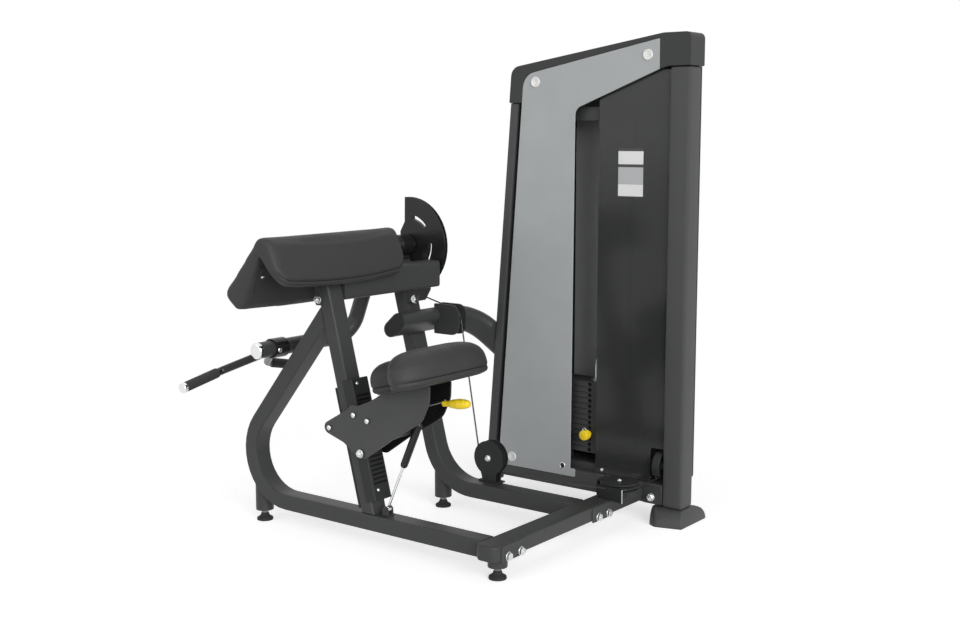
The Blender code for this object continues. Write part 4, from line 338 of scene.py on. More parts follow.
def upholstery(name, colour):
    finish = Finish(name, colour, 0.52, gloss=0.26)
    tree = finish.tree
    grain = grouped(tree, "Vinyl grain")
    dusty = grouped(tree, "Dust", amount=0.05)["Mask"]
    base = shaded(tree, finish.colour, grain["Shade"])
    finish.paint(mixed(tree, dusty, base, (0.22, 0.22, 0.22)))
    finish.rough(grain["Rough"])
    finish.bump(grain["Height"], 0.22, 0.0004)


def smoked_sheet(name, colour, density):
    """Clear smoked sheet, glossy on both faces."""
    finish = Finish(name, colour, 0.14, gloss=0.28)
    tree = finish.tree
    scuffed = grouped(tree, "Scuffs", amount=0.20)["Mask"]
    finish.paint(mixed(tree, scuffed, finish.colour, (0.25, 0.25, 0.25)))
    alpha = maths(tree, "ADD", scuffed, density)
    tree.links.new(maths(tree, "MINIMUM", alpha, 1.0), finish.shader.inputs["Alpha"])


def blended(tree, share, first, second):
    return node(tree, "ShaderNodeMixShader", ((0, share), (1, first), (2, second))).outputs[0]


def pale_floor(name, colour):
    """Matt floor that turns to plain white away from the machine."""
    material = bpy.data.materials.new(name)
    material.use_nodes = True
    tree = material.node_tree
    tree.nodes.remove(tree.nodes["Principled BSDF"])
    matt = node(tree, "ShaderNodeBsdfDiffuse", (("Color", (*colour, 1.0)),)).outputs[0]
    white = node(tree, "ShaderNodeEmission", (("Strength", 1.0),)).outputs[0]
    lift = node(tree, "ShaderNodeEmission", (("Strength", FLOOR_LIFT),)).outputs[0]
    spot = node(tree, "ShaderNodeTexCoord").outputs["Object"]
    away = node(tree, "ShaderNodeVectorMath", ((0, spot),), operation="LENGTH").outputs["Value"]
    far = remap(tree, away, *FLOOR_FADE)
    path = node(tree, "ShaderNodeLightPath").outputs
    direct = maths(tree, "MAXIMUM", path["Is Camera Ray"], path["Is Glossy Ray"])
    direct = maths(tree, "MAXIMUM", direct, path["Is Transmission Ray"])
    bright = node(tree, "ShaderNodeAddShader", ((0, matt), (1, lift))).outputs[0]
    lifted = blended(tree, direct, matt, bright)
    surface = blended(tree, maths(tree, "MULTIPLY", far, direct), lifted, white)
    tree.links.new(surface, tree.nodes["Material Output"].inputs["Surface"])
    FINISHES[name] = material


def make_finishes():
    scene = bpy.context.scene
    body = scene.curl_frame
    make_effects()
    painted("frame_paint", body.paint, 0.40, body.peel, dust=0.02, gloss=0.22)
    painted("tower_paint", body.tower_paint, 0.42, body.peel, dust=0.02, gloss=0.22)
    painted("head_paint", (0.038, 0.039, 0.039), 0.48, body.peel, dust=0.03,
            gloss=0.22)
    painted("gloss_paint", (0.012, 0.012, 0.013), 0.24, 0.05, dust=0.02, gloss=0.30)
    painted("plate_paint", (0.062, 0.063, 0.064), 0.44, body.peel, dust=0.02,
            gloss=0.22)
    painted("panel_paint", scene.curl_tower.panel, 0.36, 0.05, scuffs=0.08, dust=0.02,
            gloss=0.30)
    painted("iron", (0.018, 0.018, 0.018), 0.55, 0.30, scuffs=0.5, dust=0.05, lighter=4.0)
    moulded("black_plastic", (0.018, 0.019, 0.019), 0.48, gloss=0.25)
    moulded("pulley_plastic", (0.014, 0.015, 0.015), 0.40, 240.0, 0.12, gloss=0.25)
    moulded("rubber", (0.024, 0.024, 0.024), 0.72, 900.0, 0.4, gloss=0.25)
    moulded("grip_rubber", (0.034, 0.034, 0.034), 0.68, 1100.0, 0.5, gloss=0.25)
    moulded("white_plastic", (0.74, 0.74, 0.72), 0.35, 300.0, 0.08)
    moulded("yellow_plastic", (0.86, 0.62, 0.012), 0.34, 300.0, 0.12)
    moulded("cable_sheath", (0.020, 0.020, 0.020), 0.34, 800.0, 0.2)
    # Near-black of the seams' threads, made this dark to paint the seams' crease shade as well as
    # their thread; also the painted shade of the rack's slots.
    moulded("thread", (0.008, 0.008, 0.008), 0.60, 1500.0, 0.4, gloss=0.1)
    # Pale grey of the sheet inside the back cover: painted light for the tower's shaded inside.
    painted("liner_grey", (0.330, 0.333, 0.336), 0.30, 0.05, scuffs=0.05, dust=0.0)
    metal("chrome", (0.80, 0.81, 0.82), 0.10, 30.0, 0.02)
    metal("zinc", (0.66, 0.67, 0.68), 0.26)
    metal("dark_steel", (0.20, 0.20, 0.21), 0.38)
    moulded("placard_white", (0.72, 0.72, 0.72), 0.40, 300.0, 0.02)
    moulded("placard_grey", (0.42, 0.43, 0.44), 0.40, 300.0, 0.02)
    moulded("placard_black", (0.030, 0.030, 0.030), 0.40, 300.0, 0.02)
    upholstery("vinyl", scene.curl_pads.vinyl)
    pale_floor("floor", scene.curl_stage.floor)
    smoked_sheet("smoked", scene.curl_tower.shield, scene.curl_tower.shield_alpha)


# Mesh helpers

def new_piece(name, bm, finish, body=None, smooth=SHARP):
    """A finished mesh object at the origin, with its faces smoothed by angle."""
    mesh = bpy.data.meshes.new(name)
    bmesh.ops.recalc_face_normals(bm, faces=bm.faces[:])
    bm.to_mesh(mesh)
    bm.free()
    return piece_of(mesh, name, finish, body, smooth)


def smoothed(mesh, angle=SHARP):
    mesh.shade_smooth()
    mesh.set_sharp_from_angle(angle=angle)


def piece_of(mesh, name, finish, body=None, smooth=SHARP):
    mesh.materials.clear()
    mesh.materials.append(FINISHES[finish])
    obj = bpy.data.objects.new(name, mesh)
    bpy.context.scene.collection.objects.link(obj)
    if smooth:
        smoothed(mesh, smooth)
    if body:
        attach(obj, body)
    return obj


def rounding(obj, width, segments=2, angle=SHARP):
    adjusted(obj.modifiers.new("rounding", "BEVEL"), width=width, segments=segments,
             limit_method="ANGLE", angle_limit=angle, use_clamp_overlap=True,
             harden_normals=False)
    return obj


def settled(obj):
    """The object with its modifiers applied to a plain mesh of its own."""
    depsgraph = bpy.context.evaluated_depsgraph_get()
    mesh = bpy.data.meshes.new_from_object(obj.evaluated_get(depsgraph), depsgraph=depsgraph)
    obj.modifiers.clear()
    old = obj.data
    obj.data = mesh
    mesh.name = obj.name
    bpy.data.meshes.remove(old)
    return obj


def refined(nodes, finish, edge=None, smooth=math.radians(32)):
    """Rounded copies of CAD nodes, which stand for those nodes."""
    edge = bpy.context.scene.curl_frame.edge if edge is None else edge
    for name in nodes:
        bm = bmesh.new()
        bm.from_mesh(NODES[name].data)
        bmesh.ops.remove_doubles(bm, verts=bm.verts[:], dist=0.00002)
        bmesh.ops.dissolve_limit(bm, angle_limit=math.radians(1.0), verts=bm.verts[:],
                                 edges=bm.edges[:])
        mesh = bpy.data.meshes.new(name + "_finished")
        bm.to_mesh(mesh)
        bm.free()
        obj = piece_of(mesh, name + "_finished", finish, BODY_OF[name], smooth)
        if edge:
            rounding(obj, edge, 2, smooth)
            obj.modifiers.new("even shading", "WEIGHTED_NORMAL").keep_sharp = True
        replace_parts(settled(obj), name)


def turn_to(direction):
    """Rotation that takes +Z to a direction."""
    return Vector(direction).normalized().to_track_quat("Z", "Y").to_matrix().to_4x4()


def circle(steps):
    """Cosine and sine of equal turns round a circle."""
    return [(math.cos(2 * math.pi * i / steps), math.sin(2 * math.pi * i / steps))
            for i in range(steps)]


def lathe(bm, profile, place, axis, steps=48):
    """Turns (radius, height) pairs about an axis; a radius of nought closes an end."""
    matrix = Matrix.Translation(place) @ turn_to(axis)
    rings = []
    for radius, height in profile:
        spots = circle(steps)[:steps if radius > 1e-6 else 1]
        rings.append([bm.verts.new(matrix @ Vector((radius * cos, radius * sin, height)))
                      for cos, sin in spots])
    for first, second in zip(rings, rings[1:]):
        for i in range(steps):
            j = (i + 1) % steps
            face = [first[i % len(first)], first[j % len(first)],
                    second[j % len(second)], second[i % len(second)]]
            face = list(dict.fromkeys(face))
            if len(face) > 2:
                bm.faces.new(face)
    return rings


def band(bm, first, second):
    """Faces between two rings that have as many points."""
    for i in range(len(first)):
        j = (i + 1) % len(first)
        bm.faces.new([first[i], first[j], second[j], second[i]])


def closed_lathe(bm, profile, place, axis, steps=48):
    """A turned ring whose profile comes back to its start."""
    rings = lathe(bm, profile, place, axis, steps)
    band(bm, rings[-1], rings[0])


def turned(name, profile, place, axis, finish, body=None, steps=48, smooth=SHARP,
           make=lathe):
    """A piece that is one turned form."""
    bm = bmesh.new()
    make(bm, profile, place, axis, steps)
    return new_piece(name, bm, finish, body, smooth)


def block(bm, low, high):
    made = bmesh.ops.create_cube(bm, size=1.0)["verts"]
    size = Vector(high) - Vector(low)
    bmesh.ops.scale(bm, vec=size, verts=made)
    bmesh.ops.translate(bm, vec=(Vector(high) + Vector(low)) / 2, verts=made)


def prism(bm, outline, start, end, plane="SIDE"):
    """An outline drawn in X and Z (LEVEL: X and Y, FRONT: Y and Z), pushed between two depths."""
    def place(point, depth):
        if plane == "SIDE":
            return (point[0], depth, point[1])
        if plane == "FRONT":
            return (depth, point[0], point[1])
        return (point[0], point[1], depth)

    lower = [bm.verts.new(place(point, start)) for point in outline]
    upper = [bm.verts.new(place(point, end)) for point in outline]
    band(bm, lower, upper)
    bm.faces.new(lower)
    bm.faces.new(upper)
    return lower + upper


def loft(bm, rings):
    """Joins rings of places into a closed skin, with a face at each end."""
    made = [[bm.verts.new(place) for place in ring] for ring in rings]
    for first, second in zip(made, made[1:]):
        band(bm, first, second)
    bm.faces.new(made[0])
    bm.faces.new(made[-1])


def rounded(corners, radius, steps=6):
    """Outline with every corner turned into an arc, or one radius for each."""
    radii = radius if isinstance(radius, (tuple, list)) else [radius] * len(corners)
    points = []
    count = len(corners)
    for i, corner in enumerate(corners):
        corner = Vector(corner)
        before = Vector(corners[i - 1]) - corner
        after = Vector(corners[(i + 1) % count]) - corner
        if radii[i] <= 0:
            points.append(corner)
            continue
        angle = before.angle(after)
        reach = radii[i] / math.tan(angle / 2)
        start = corner + before.normalized() * reach
        end = corner + after.normalized() * reach
        bisector = (before.normalized() + after.normalized()).normalized()
        centre = corner + bisector * radii[i] / math.sin(angle / 2)
        first = start - centre
        sweep = first.angle_signed(end - centre)
        for step in range(steps + 1):
            turn = -sweep * step / steps
            points.append(centre + Vector((first.x * math.cos(turn) - first.y * math.sin(turn),
                                           first.x * math.sin(turn) + first.y * math.cos(turn))))
    return points


def tube_mesh(bm, points, radius, steps=12, closed=False):
    """A round tube along points; its ends are closed unless it is a loop."""
    points = [Vector(point) for point in points]
    count = len(points)
    ways = []
    for i in range(count):
        before = points[i - 1] if closed or i else points[0]
        after = points[(i + 1) % count] if closed or i < count - 1 else points[-1]
        ways.append((after - before).normalized())
    side = ways[0].orthogonal().normalized()
    rings = []
    for point, way in zip(points, ways):
        side = (side - way * side.dot(way)).normalized()
        other = way.cross(side)
        rings.append([bm.verts.new(point + radius * (side * cos + other * sin))
                      for cos, sin in circle(steps)])
    for first, second in zip(rings, rings[1:]):
        band(bm, first, second)
    if closed:
        shift = min(range(steps), key=lambda s: (rings[-1][0].co - rings[0][s].co).length)
        band(bm, rings[-1], rings[0][shift:] + rings[0][:shift])
    else:
        bm.faces.new(rings[0])
        bm.faces.new(rings[-1])


# Geometry Nodes for what repeats

def geometry_tree(name, inputs):
    tree = bpy.data.node_groups.new(name, "GeometryNodeTree")
    tree.interface.new_socket("Geometry", in_out="INPUT", socket_type="NodeSocketGeometry")
    for label, kind in inputs:
        tree.interface.new_socket(label, in_out="INPUT", socket_type=kind)
    tree.interface.new_socket("Geometry", in_out="OUTPUT", socket_type="NodeSocketGeometry")
    start = tree.nodes.new("NodeGroupInput").outputs
    end = tree.nodes.new("NodeGroupOutput").inputs
    return tree, start, end


def finish_tree(tree, start, end, instances):
    solid = node(tree, "GeometryNodeRealizeInstances", (("Geometry", instances),))
    painted_solid = node(tree, "GeometryNodeSetMaterial",
                         (("Geometry", solid.outputs[0]), ("Material", start["Material"])))
    tree.links.new(painted_solid.outputs[0], end["Geometry"])


def make_trees():
    """Trees that put a part on every point, and that pile up plates."""
    tree, start, end = geometry_tree("Parts on points", (
        ("Part", "NodeSocketObject"), ("Material", "NodeSocketMaterial")))
    part = node(tree, "GeometryNodeObjectInfo", (("Object", start["Part"]),))
    aim = node(tree, "GeometryNodeInputNamedAttribute", (("Name", "aim"),),
               data_type="FLOAT_VECTOR")
    turned = node(tree, "FunctionNodeAlignRotationToVector",
                  (("Vector", aim.outputs["Attribute"]),), axis="Z")
    placed = node(tree, "GeometryNodeInstanceOnPoints",
                  (("Points", start["Geometry"]), ("Instance", part.outputs["Geometry"]),
                   ("Rotation", turned.outputs[0])))
    finish_tree(tree, start, end, placed.outputs[0])

    tree, start, end = geometry_tree("Pile of plates", (
        ("Count", "NodeSocketInt"), ("Pitch", "NodeSocketFloat"),
        ("Material", "NodeSocketMaterial")))
    step = node(tree, "ShaderNodeCombineXYZ", (("Z", start["Pitch"]),))
    line = node(tree, "GeometryNodeMeshLine", (("Count", start["Count"]),
                                               ("Offset", step.outputs[0])))
    placed = node(tree, "GeometryNodeInstanceOnPoints", (("Points", line.outputs[0]),
                                                         ("Instance", start["Geometry"])))
    finish_tree(tree, start, end, placed.outputs[0])


def grown(obj, tree_name, finish, **inputs):
    """Runs a tree on the object and keeps what it makes as a plain mesh."""
    tree = bpy.data.node_groups[tree_name]
    made = obj.modifiers.new("made", "NODES")
    made.node_group = tree
    inputs["Material"] = FINISHES[finish]
    for item in tree.interface.items_tree:
        if item.in_out == "INPUT" and item.name in inputs:
            made[item.identifier] = inputs[item.name]
    return settled(obj)


def parts_on_points(name, spots, part, finish, body):
    """A copy of the part at every (place, direction) of the list."""
    mesh = bpy.data.meshes.new(name)
    mesh.from_pydata([tuple(place) for place, aim in spots], [], [])
    aims = mesh.attributes.new("aim", "FLOAT_VECTOR", "POINT")
    for index, (place, aim) in enumerate(spots):
        aims.data[index].vector = aim
    obj = piece_of(mesh, name, finish, None, None)
    obj = grown(obj, "Parts on points", finish, Part=part)
    smoothed(obj.data)
    bpy.data.objects.remove(part)
    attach(obj, body)


def hex_bolt(across=0.019, head=0.0075, washer=0.0125):
    """Hexagon head on a washer, with the bolt's end in its middle; +Z points out."""
    bm = bmesh.new()
    lathe(bm, ((0.0, 0.0), (washer, 0.0), (washer, 0.0012), (washer - 0.0008, 0.0018),
               (0.0, 0.0018)), (0, 0, 0), UP, 24)
    radius = across / math.sqrt(3)
    lathe(bm, ((0.0, 0.0016), (radius, 0.0016), (radius, head - 0.0012),
               (radius * 0.86, head), (0.0, head)), (0, 0, 0), UP, 6)
    lathe(bm, ((0.0, head - 0.001), (across * 0.21, head - 0.001),
               (across * 0.21, head + 0.0012), (across * 0.16, head + 0.0018),
               (0.0, head + 0.0018)), (0, 0, 0), UP, 16)
    return new_piece("hex_bolt_part", bm, "zinc")


def button_bolt(radius=0.0078, height=0.0042):
    """Low round head with a socket; +Z points out."""
    socket = radius * 0.42
    profile = [(0.0, 0.0), (radius, 0.0), (radius, height * 0.25)]
    for step in range(1, 5):
        turn = math.radians(80) * step / 4
        profile.append((radius * math.cos(turn) * 0.5 + radius * 0.5 * (1 - step / 5),
                        height * (0.25 + 0.75 * math.sin(turn))))
    profile += [(socket, height), (socket * 0.95, height * 0.45), (0.0, height * 0.40)]
    return turned("button_bolt_part", profile, (0, 0, 0), UP, "zinc", None, 18)


# Upholstery

PAD_OUTLINE = (         # corner, rounding and the face that it ends
    ((-0.782, 0.741), 0.022, "arm"), ((-0.600, 0.953), 0.032, "ridge"),
    ((-0.524, 0.766), 0.014, "chest"), ((-0.566, 0.773), 0.010, "chest"),
    ((-0.628, 0.872), 0.004, "ridge"), ((-0.716, 0.690), 0.018, "arm"))
PAD_MIDDLE = 0.0060
PAD_HALF = 0.2760
PAD_CORNER = 0.048
ARM_WAY = Vector((0.660, 0.750))
CHEST_WAY = Vector((-0.407, 0.913))
CHEST_OUT = Vector((0.913, 0.0, 0.407))
PAD_SEAM = 0.027        # from the chest face's lower edge
PAD_ARM_BOW = 0.013     # how much shorter the faces are at the ends than in the middle
PAD_CHEST_BOW = 0.018
SEAT_MIDDLE = (-0.277, 0.0, 0.4985)
SEAT_BODY = ((-0.020, 0.0), (0.000, 0.118), (0.036, 0.152), (0.073, 0.190), (0.105, 0.203),
             (0.142, 0.172), (0.168, 0.105), (0.172, 0.0))
SEAT_BODY_LEVELS = ((0.003, 0.965), (0.009, 0.995), (0.040, 1.0), (0.062, 0.975),
                    (0.080, 0.90), (0.093, 0.77), (0.100, 0.58), (0.103, 0.35))
SEAT_NOSE = ((-0.125, 0.0), (-0.118, 0.055), (-0.095, 0.088), (-0.060, 0.098), (0.000, 0.100),
             (0.080, 0.100), (0.100, 0.0))
SEAT_NOSE_LEVELS = ((0.003, 0.96), (0.009, 0.99), (0.040, 1.0), (0.058, 0.96), (0.072, 0.85),
                    (0.081, 0.68), (0.085, 0.45))
SEAT_BOARD = ((0.158, 0.0), (0.154, 0.097), (0.130, 0.158), (0.097, 0.187), (0.067, 0.175),
              (0.033, 0.140), (0.000, 0.104), (-0.056, 0.090), (-0.088, 0.080),
              (-0.108, 0.050), (-0.114, 0.0))
SEAT_SEAM = 0.021       # above the cushion's underside


def remeshed(obj, voxel, rounds):
    adjusted(obj.modifiers.new("even", "REMESH"), mode="VOXEL", voxel_size=voxel,
             use_smooth_shade=True)
    adjusted(obj.modifiers.new("eased", "SMOOTH"), factor=0.5, iterations=rounds)
    return settled(obj)


def puffed(obj, swell):
    """Cloth under pressure, held back so that no point moves further than the swell."""
    scene = bpy.context.scene
    rest = [vert.co.copy() for vert in obj.data.vertices]
    cloth = obj.modifiers.new("foam", "CLOTH")
    adjusted(cloth.settings, quality=5, mass=0.3, tension_stiffness=20,
             compression_stiffness=20, bending_stiffness=2.0, use_pressure=True,
             uniform_pressure_force=4.0)
    cloth.settings.effector_weights.gravity = 0.0
    adjusted(cloth.point_cache, frame_start=1, frame_end=20)
    for number in range(1, 21):
        scene.frame_set(number)
    settled(obj)
    scene.frame_set(1)
    for vert, start in zip(obj.data.vertices, rest):
        move = vert.co - start
        if move.length > swell:
            vert.co = start + move.normalized() * swell
    adjusted(obj.modifiers.new("eased", "SMOOTH"), factor=0.5, iterations=8)
    adjusted(obj.modifiers.new("finer", "SUBSURF"), levels=1, render_levels=1)
    return settled(obj)


def carved(obj, cutter_bm, **values):
    """The piece with another solid taken out of it."""
    cutter = new_piece("cutter", cutter_bm, "iron")
    adjusted(obj.modifiers.new("carved", "BOOLEAN"), operation="DIFFERENCE", solver="EXACT",
             object=cutter, **values)
    settled(obj)
    bpy.data.objects.remove(cutter)
    return obj


def without(obj, *boxes):
    """Cuts boxes (low, high) out of a closed piece."""
    for low, high in boxes:
        bm = bmesh.new()
        block(bm, low, high)
        carved(obj, bm)
    return obj


def surface_of(obj):
    depsgraph = bpy.context.evaluated_depsgraph_get()
    return BVHTree.FromObject(obj, depsgraph)


def skin_point(surface, outside, towards, lift):
    """Where a line from outside meets the piece, lifted off it a little."""
    way = (towards - outside).normalized()
    hit, normal, face, distance = surface.ray_cast(outside, way)
    return None if hit is None else hit + normal * lift


def pinched(obj, line, depth, width):
    """Draws the skin in along a line, as a seam does."""
    tree = KDTree(len(line))
    for index, place in enumerate(line):
        tree.insert(place, index)
    tree.balance()
    moves = []
    for vert in obj.data.vertices:
        place, index, distance = tree.find(vert.co)
        if distance < width * 3:
            moves.append((vert, vert.normal * depth * math.exp(-(distance / width) ** 2)))
    for vert, move in moves:
        vert.co = vert.co - move
    obj.data.update()


def seam_thread_and_shade(name, line, closed, body):
    """The sunk thread at the bottom of a seam, made near-black so that it also paints the seam's
    crease shade.
    """
    bm = bmesh.new()
    tube_mesh(bm, line, bpy.context.scene.curl_pads.thread, 6, closed)
    return new_piece(name, bm, "thread", body, math.radians(80))


def finer_line(points, closed, parts=3):
    """The same line with points between its points, evened out."""
    count = len(points)
    for _ in range(3):
        points = [points[i] if not closed and i in (0, count - 1)
                  else (points[i - 1] + points[i] * 2 + points[(i + 1) % count]) / 4
                  for i in range(count)]
    last = count if closed else count - 1
    finer = [points[i].lerp(points[(i + 1) % count], step / parts)
             for i in range(last) for step in range(parts)]
    return finer if closed else finer + [points[-1]]


def both_sides(half, rounds=2):
    """Smooth outline from the points of its one half, from end to end of the middle line."""
    half = [Vector(point) for point in half]
    full = half + [Vector((point.x, -point.y)) for point in half[-2:0:-1]]
    for _ in range(rounds):
        finer = []
        for i, point in enumerate(full):
            after = full[(i + 1) % len(full)]
            finer += [point * 0.75 + after * 0.25, point * 0.25 + after * 0.75]
        full = finer
    return full


class CURL_OT_arm_pad(bpy.types.Operator):
    """Crowned V shaped arm pad with the seam of its chest face"""
    bl_idname = "curl.arm_pad"
    bl_label = "Arm pad"

    def execute(self, context):
        pads = context.scene.curl_pads
        bm = bmesh.new()
        loft(bm, [self.section(math.sin(math.pi / 2 * (step / 12 - 1)) * PAD_HALF)
                  for step in range(25)])
        pad = new_piece("arm_pad_cushion", bm, "vinyl", None, None)
        rounding(pad, 0.010, 3, math.radians(60))
        pad = puffed(remeshed(pad, pads.voxel, 3), pads.swell)
        line = self.seam(pad)
        pinched(pad, line, pads.sink, 0.0036)
        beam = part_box("upper_beam")
        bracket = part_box("pad_bracket")
        margin = Vector((0.003, 0.003, 0.003))
        pad = without(pad, (beam[0] - margin, beam[1] + margin),
                      (bracket[0] - margin * 0.3, bracket[1] + margin * 0.3))
        smoothed(pad.data, math.radians(50))
        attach(pad, "frame")
        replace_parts(pad, "arm_pad")
        sunk = [place - CHEST_OUT * (pads.sink - pads.thread * 0.4) for place in line]
        seam_thread_and_shade("arm_pad_seam", sunk, False, "frame")
        self.fixings(surface_of(pad))
        return {"FINISHED"}

    def fixings(self, surface):
        """Near-black strip inside the arm face near each end, painted shade standing for the slot
        there, and its screw.
        """
        inward = Vector((-0.75, 0, 0.66))
        slot_shades, screws = bmesh.new(), []
        for side in (-1, 1):
            ends = []
            for x, z in ((-0.664, 0.750), (-0.612, 0.808)):
                outside = at(x, side * 0.236, z)
                ends.append(skin_point(surface, outside, outside + inward, 0.0008))
            tube_mesh(slot_shades, ends, 0.0042, 8)
            outside = at(-0.640, side * 0.2215, 0.792)
            screw = skin_point(surface, outside, outside + inward, 0.0002)
            screws.append((screw, tuple(-inward)))
        new_piece("pad_strips", slot_shades, "black_plastic", "frame")
        parts_on_points("pad_screws", screws, button_bolt(0.0058, 0.0030), "zinc", "frame")

    def shortened(self, across):
        """How far the arm and chest faces stop short of the middle's, towards an end."""
        share = (across / PAD_HALF) ** 2
        beyond = min(max(abs(across) - (PAD_HALF - 0.004 - PAD_CORNER), 0.0), PAD_CORNER * 0.995)
        corner = PAD_CORNER - math.sqrt(PAD_CORNER ** 2 - beyond ** 2)
        return {"arm": PAD_ARM_BOW * share, "chest": PAD_CHEST_BOW * share + corner,
                "ridge": 0.0}

    def section(self, across):
        short = self.shortened(across)
        ways = {"arm": ARM_WAY, "chest": CHEST_WAY, "ridge": Vector((0, 0))}
        corners = [Vector(corner) + ways[face] * short[face]
                   for corner, radius, face in PAD_OUTLINE]
        outline = rounded(corners, [radius for corner, radius, face in PAD_OUTLINE])
        return [at(point.x, PAD_MIDDLE + across, point.y) for point in outline]

    def seam(self, pad):
        """Line across the chest face, a little above its lower edge."""
        surface = surface_of(pad)
        line = []
        for step in range(131):
            across = (step / 65 - 1) * (PAD_HALF - 0.012)
            foot = Vector(PAD_OUTLINE[2][0])
            foot += CHEST_WAY * (self.shortened(across)["chest"] + PAD_SEAM)
            place = at(foot.x, PAD_MIDDLE + across, foot.y)
            point = skin_point(surface, place + CHEST_OUT * 0.08, place - CHEST_OUT * 0.04, 0.0)
            if point and (point - place).length < 0.02:
                line.append(point)
        return finer_line(line, False)


class CURL_OT_seat(bpy.types.Operator):
    """Saddle seat cushion with a rising nose, on its base board"""
    bl_idname = "curl.seat"
    bl_label = "Seat"

    def execute(self, context):
        pads = context.scene.curl_pads
        matrix = Matrix((OUT_POST, (0, 1, 0), UP_POST)).transposed().to_4x4()
        matrix.translation = at(*SEAT_MIDDLE)
        bm = bmesh.new()
        self.cushion(bm, matrix, SEAT_BODY, SEAT_BODY_LEVELS, 0.07)
        self.cushion(bm, matrix, SEAT_NOSE, SEAT_NOSE_LEVELS, -0.02)
        seat = new_piece("seat_cushion", bm, "vinyl", None, None)
        seat = puffed(remeshed(seat, pads.voxel, 5), pads.swell)
        line = self.seam(surface_of(seat), matrix)
        pinched(seat, line, pads.sink, 0.0036)
        seat.data.shade_smooth()
        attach(seat, "seat")
        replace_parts(seat, "seat_pad")
        middle = matrix @ Vector((0.03, 0, SEAT_SEAM))
        sunk = [place + (middle - place).normalized() * (pads.sink - pads.thread * 0.4)
                for place in line]
        seam_thread_and_shade("seat_seam", sunk, True, "seat")
        bm = bmesh.new()
        outline = [point * 0.95 for point in both_sides(SEAT_BOARD)]
        made = prism(bm, outline, 0.0004, 0.0060, "LEVEL")
        bmesh.ops.transform(bm, matrix=matrix, verts=made)
        new_piece("seat_board", bm, "black_plastic", "seat")
        return {"FINISHED"}

    def cushion(self, bm, matrix, half, levels, centre):
        plan = both_sides(half)
        loft(bm, [[matrix @ Vector((centre + (point.x - centre) * size, point.y * size, height))
                   for point in plan] for height, size in levels])

    def seam(self, surface, matrix):
        middle = matrix @ Vector((0.03, 0, SEAT_SEAM))
        line = []
        for cos, sin in circle(180):
            way = matrix.to_3x3() @ Vector((cos, sin, 0))
            point = skin_point(surface, middle + way * 0.5, middle, 0.0)
            if point:
                line.append(point)
        return finer_line(line, True)


# Frame

class CURL_OT_frame(bpy.types.Operator):
    """Powder coated tubes, the gloss black parts and the moulded covers"""
    bl_idname = "curl.frame"
    bl_label = "Frame"

    def execute(self, context):
        refined(("spine_tube", "seat_post", "outer_leg", "cross_bar", "upper_beam", "oval_tube",
                 "pad_bracket", "spring_bracket"), "frame_paint")
        refined(("upper_pulley_housing",), "head_paint", 0.0012)
        refined(("pivot_bearing",), "gloss_paint", 0.0010)
        refined(("floor_pulley_bracket", "corner_pulley_bracket"), "black_plastic", 0.0008)
        refined(("oval_tube_cap", "adjust_rack"), "black_plastic", 0.0008)
        refined(("post_strip",), "rubber", 0.0008)
        self.joint_plates()
        self.corner_guard()
        return {"FINISHED"}

    def corner_guard(self):
        """Upright cheek on the corner pulley's bracket, with its bright cut edge."""
        low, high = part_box("corner_pulley_bracket")
        start, end = at(0.0000, 0.5290, 0), at(0.0945, 0.5087, 0)
        along = (end - start).normalized()
        across = Vector((-along.y, along.x, 0))
        for name, first, last, finish in (
                ("corner_guard", start, end, "black_plastic"),
                ("corner_guard_edge", end, end + along * 0.0012, "zinc")):
            bm = bmesh.new()
            corners = (first, last, last + across * 0.003, first + across * 0.003)
            prism(bm, [corner.xy for corner in corners], low.z + 0.0005, high.z - 0.0065, "LEVEL")
            new_piece(name, bm, finish, "frame")

    def joint_plates(self):
        """Thin plates under the bolts of the bolted joints."""
        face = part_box("cross_bar")[1].x + CLEAR
        bm = bmesh.new()
        for start, end in ((-0.032, 0.082), (0.424, 0.540)):
            corners = [at(0, y, z).yz for y, z in ((start, 0.058), (end, 0.058), (end, 0.103),
                                                   (start, 0.103))]
            prism(bm, rounded(corners, 0.006, 4), face, face + 0.0016, "FRONT")
        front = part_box("tower_rail")[0].y - CLEAR
        corners = [at(x, 0, z).xz for x, z in ((0.0455, 0.058), (0.1100, 0.058), (0.1100, 0.1135),
                                               (0.0455, 0.1135))]
        prism(bm, rounded(corners, 0.007, 4), front - 0.0035, front)
        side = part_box("seat_post")[0].y - CLEAR
        corners = [at(x, 0, z).xz for x, z in ((-0.6330, 0.708), (-0.6060, 0.708),
                                               (-0.6200, 0.790), (-0.6385, 0.790))]
        prism(bm, rounded(corners, 0.005, 4), side - 0.0030, side)
        new_piece("joint_plates", bm, "frame_paint", "frame")


FOOT_BELL = ((0, 0), (0.0250, 0), (0.0255, 0.0015), (0.0252, 0.0065), (0.0235, 0.0085),
             (0.0190, 0.0105), (0.0150, 0.0140), (0.0128, 0.0185), (0.0120, 0.0215),
             (0.0112, 0.0228), (0, 0.0228))


class CURL_OT_feet(bpy.types.Operator):
    """Levelling feet: rubber disc, bell, nut and screw"""
    bl_idname = "curl.feet"
    bl_label = "Levelling feet"

    def execute(self, context):
        for name in ("front", "middle", "outer", "tower"):
            low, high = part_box("levelling_foot_" + name)
            middle = (low + high) / 2
            place = Vector((middle.x, middle.y, 0.0))
            foot = turned("foot_" + name, FOOT_BELL, place, UP, "rubber", "frame",
                          smooth=math.radians(50))
            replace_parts(foot, "levelling_foot_" + name)
            bm = bmesh.new()
            lathe(bm, ((0, 0.0229), (0.0105, 0.0229), (0.0110, 0.0236), (0.0110, 0.0290),
                       (0.0100, 0.0297), (0, 0.0297)), place, UP, 6)
            lathe(bm, ((0, 0.0298), (0.0060, 0.0298), (0.0060, 0.0336), (0, 0.0336)), place,
                  UP, 20)
            new_piece("foot_nut_" + name, bm, "dark_steel", "frame")
        return {"FINISHED"}


# Seat carriage

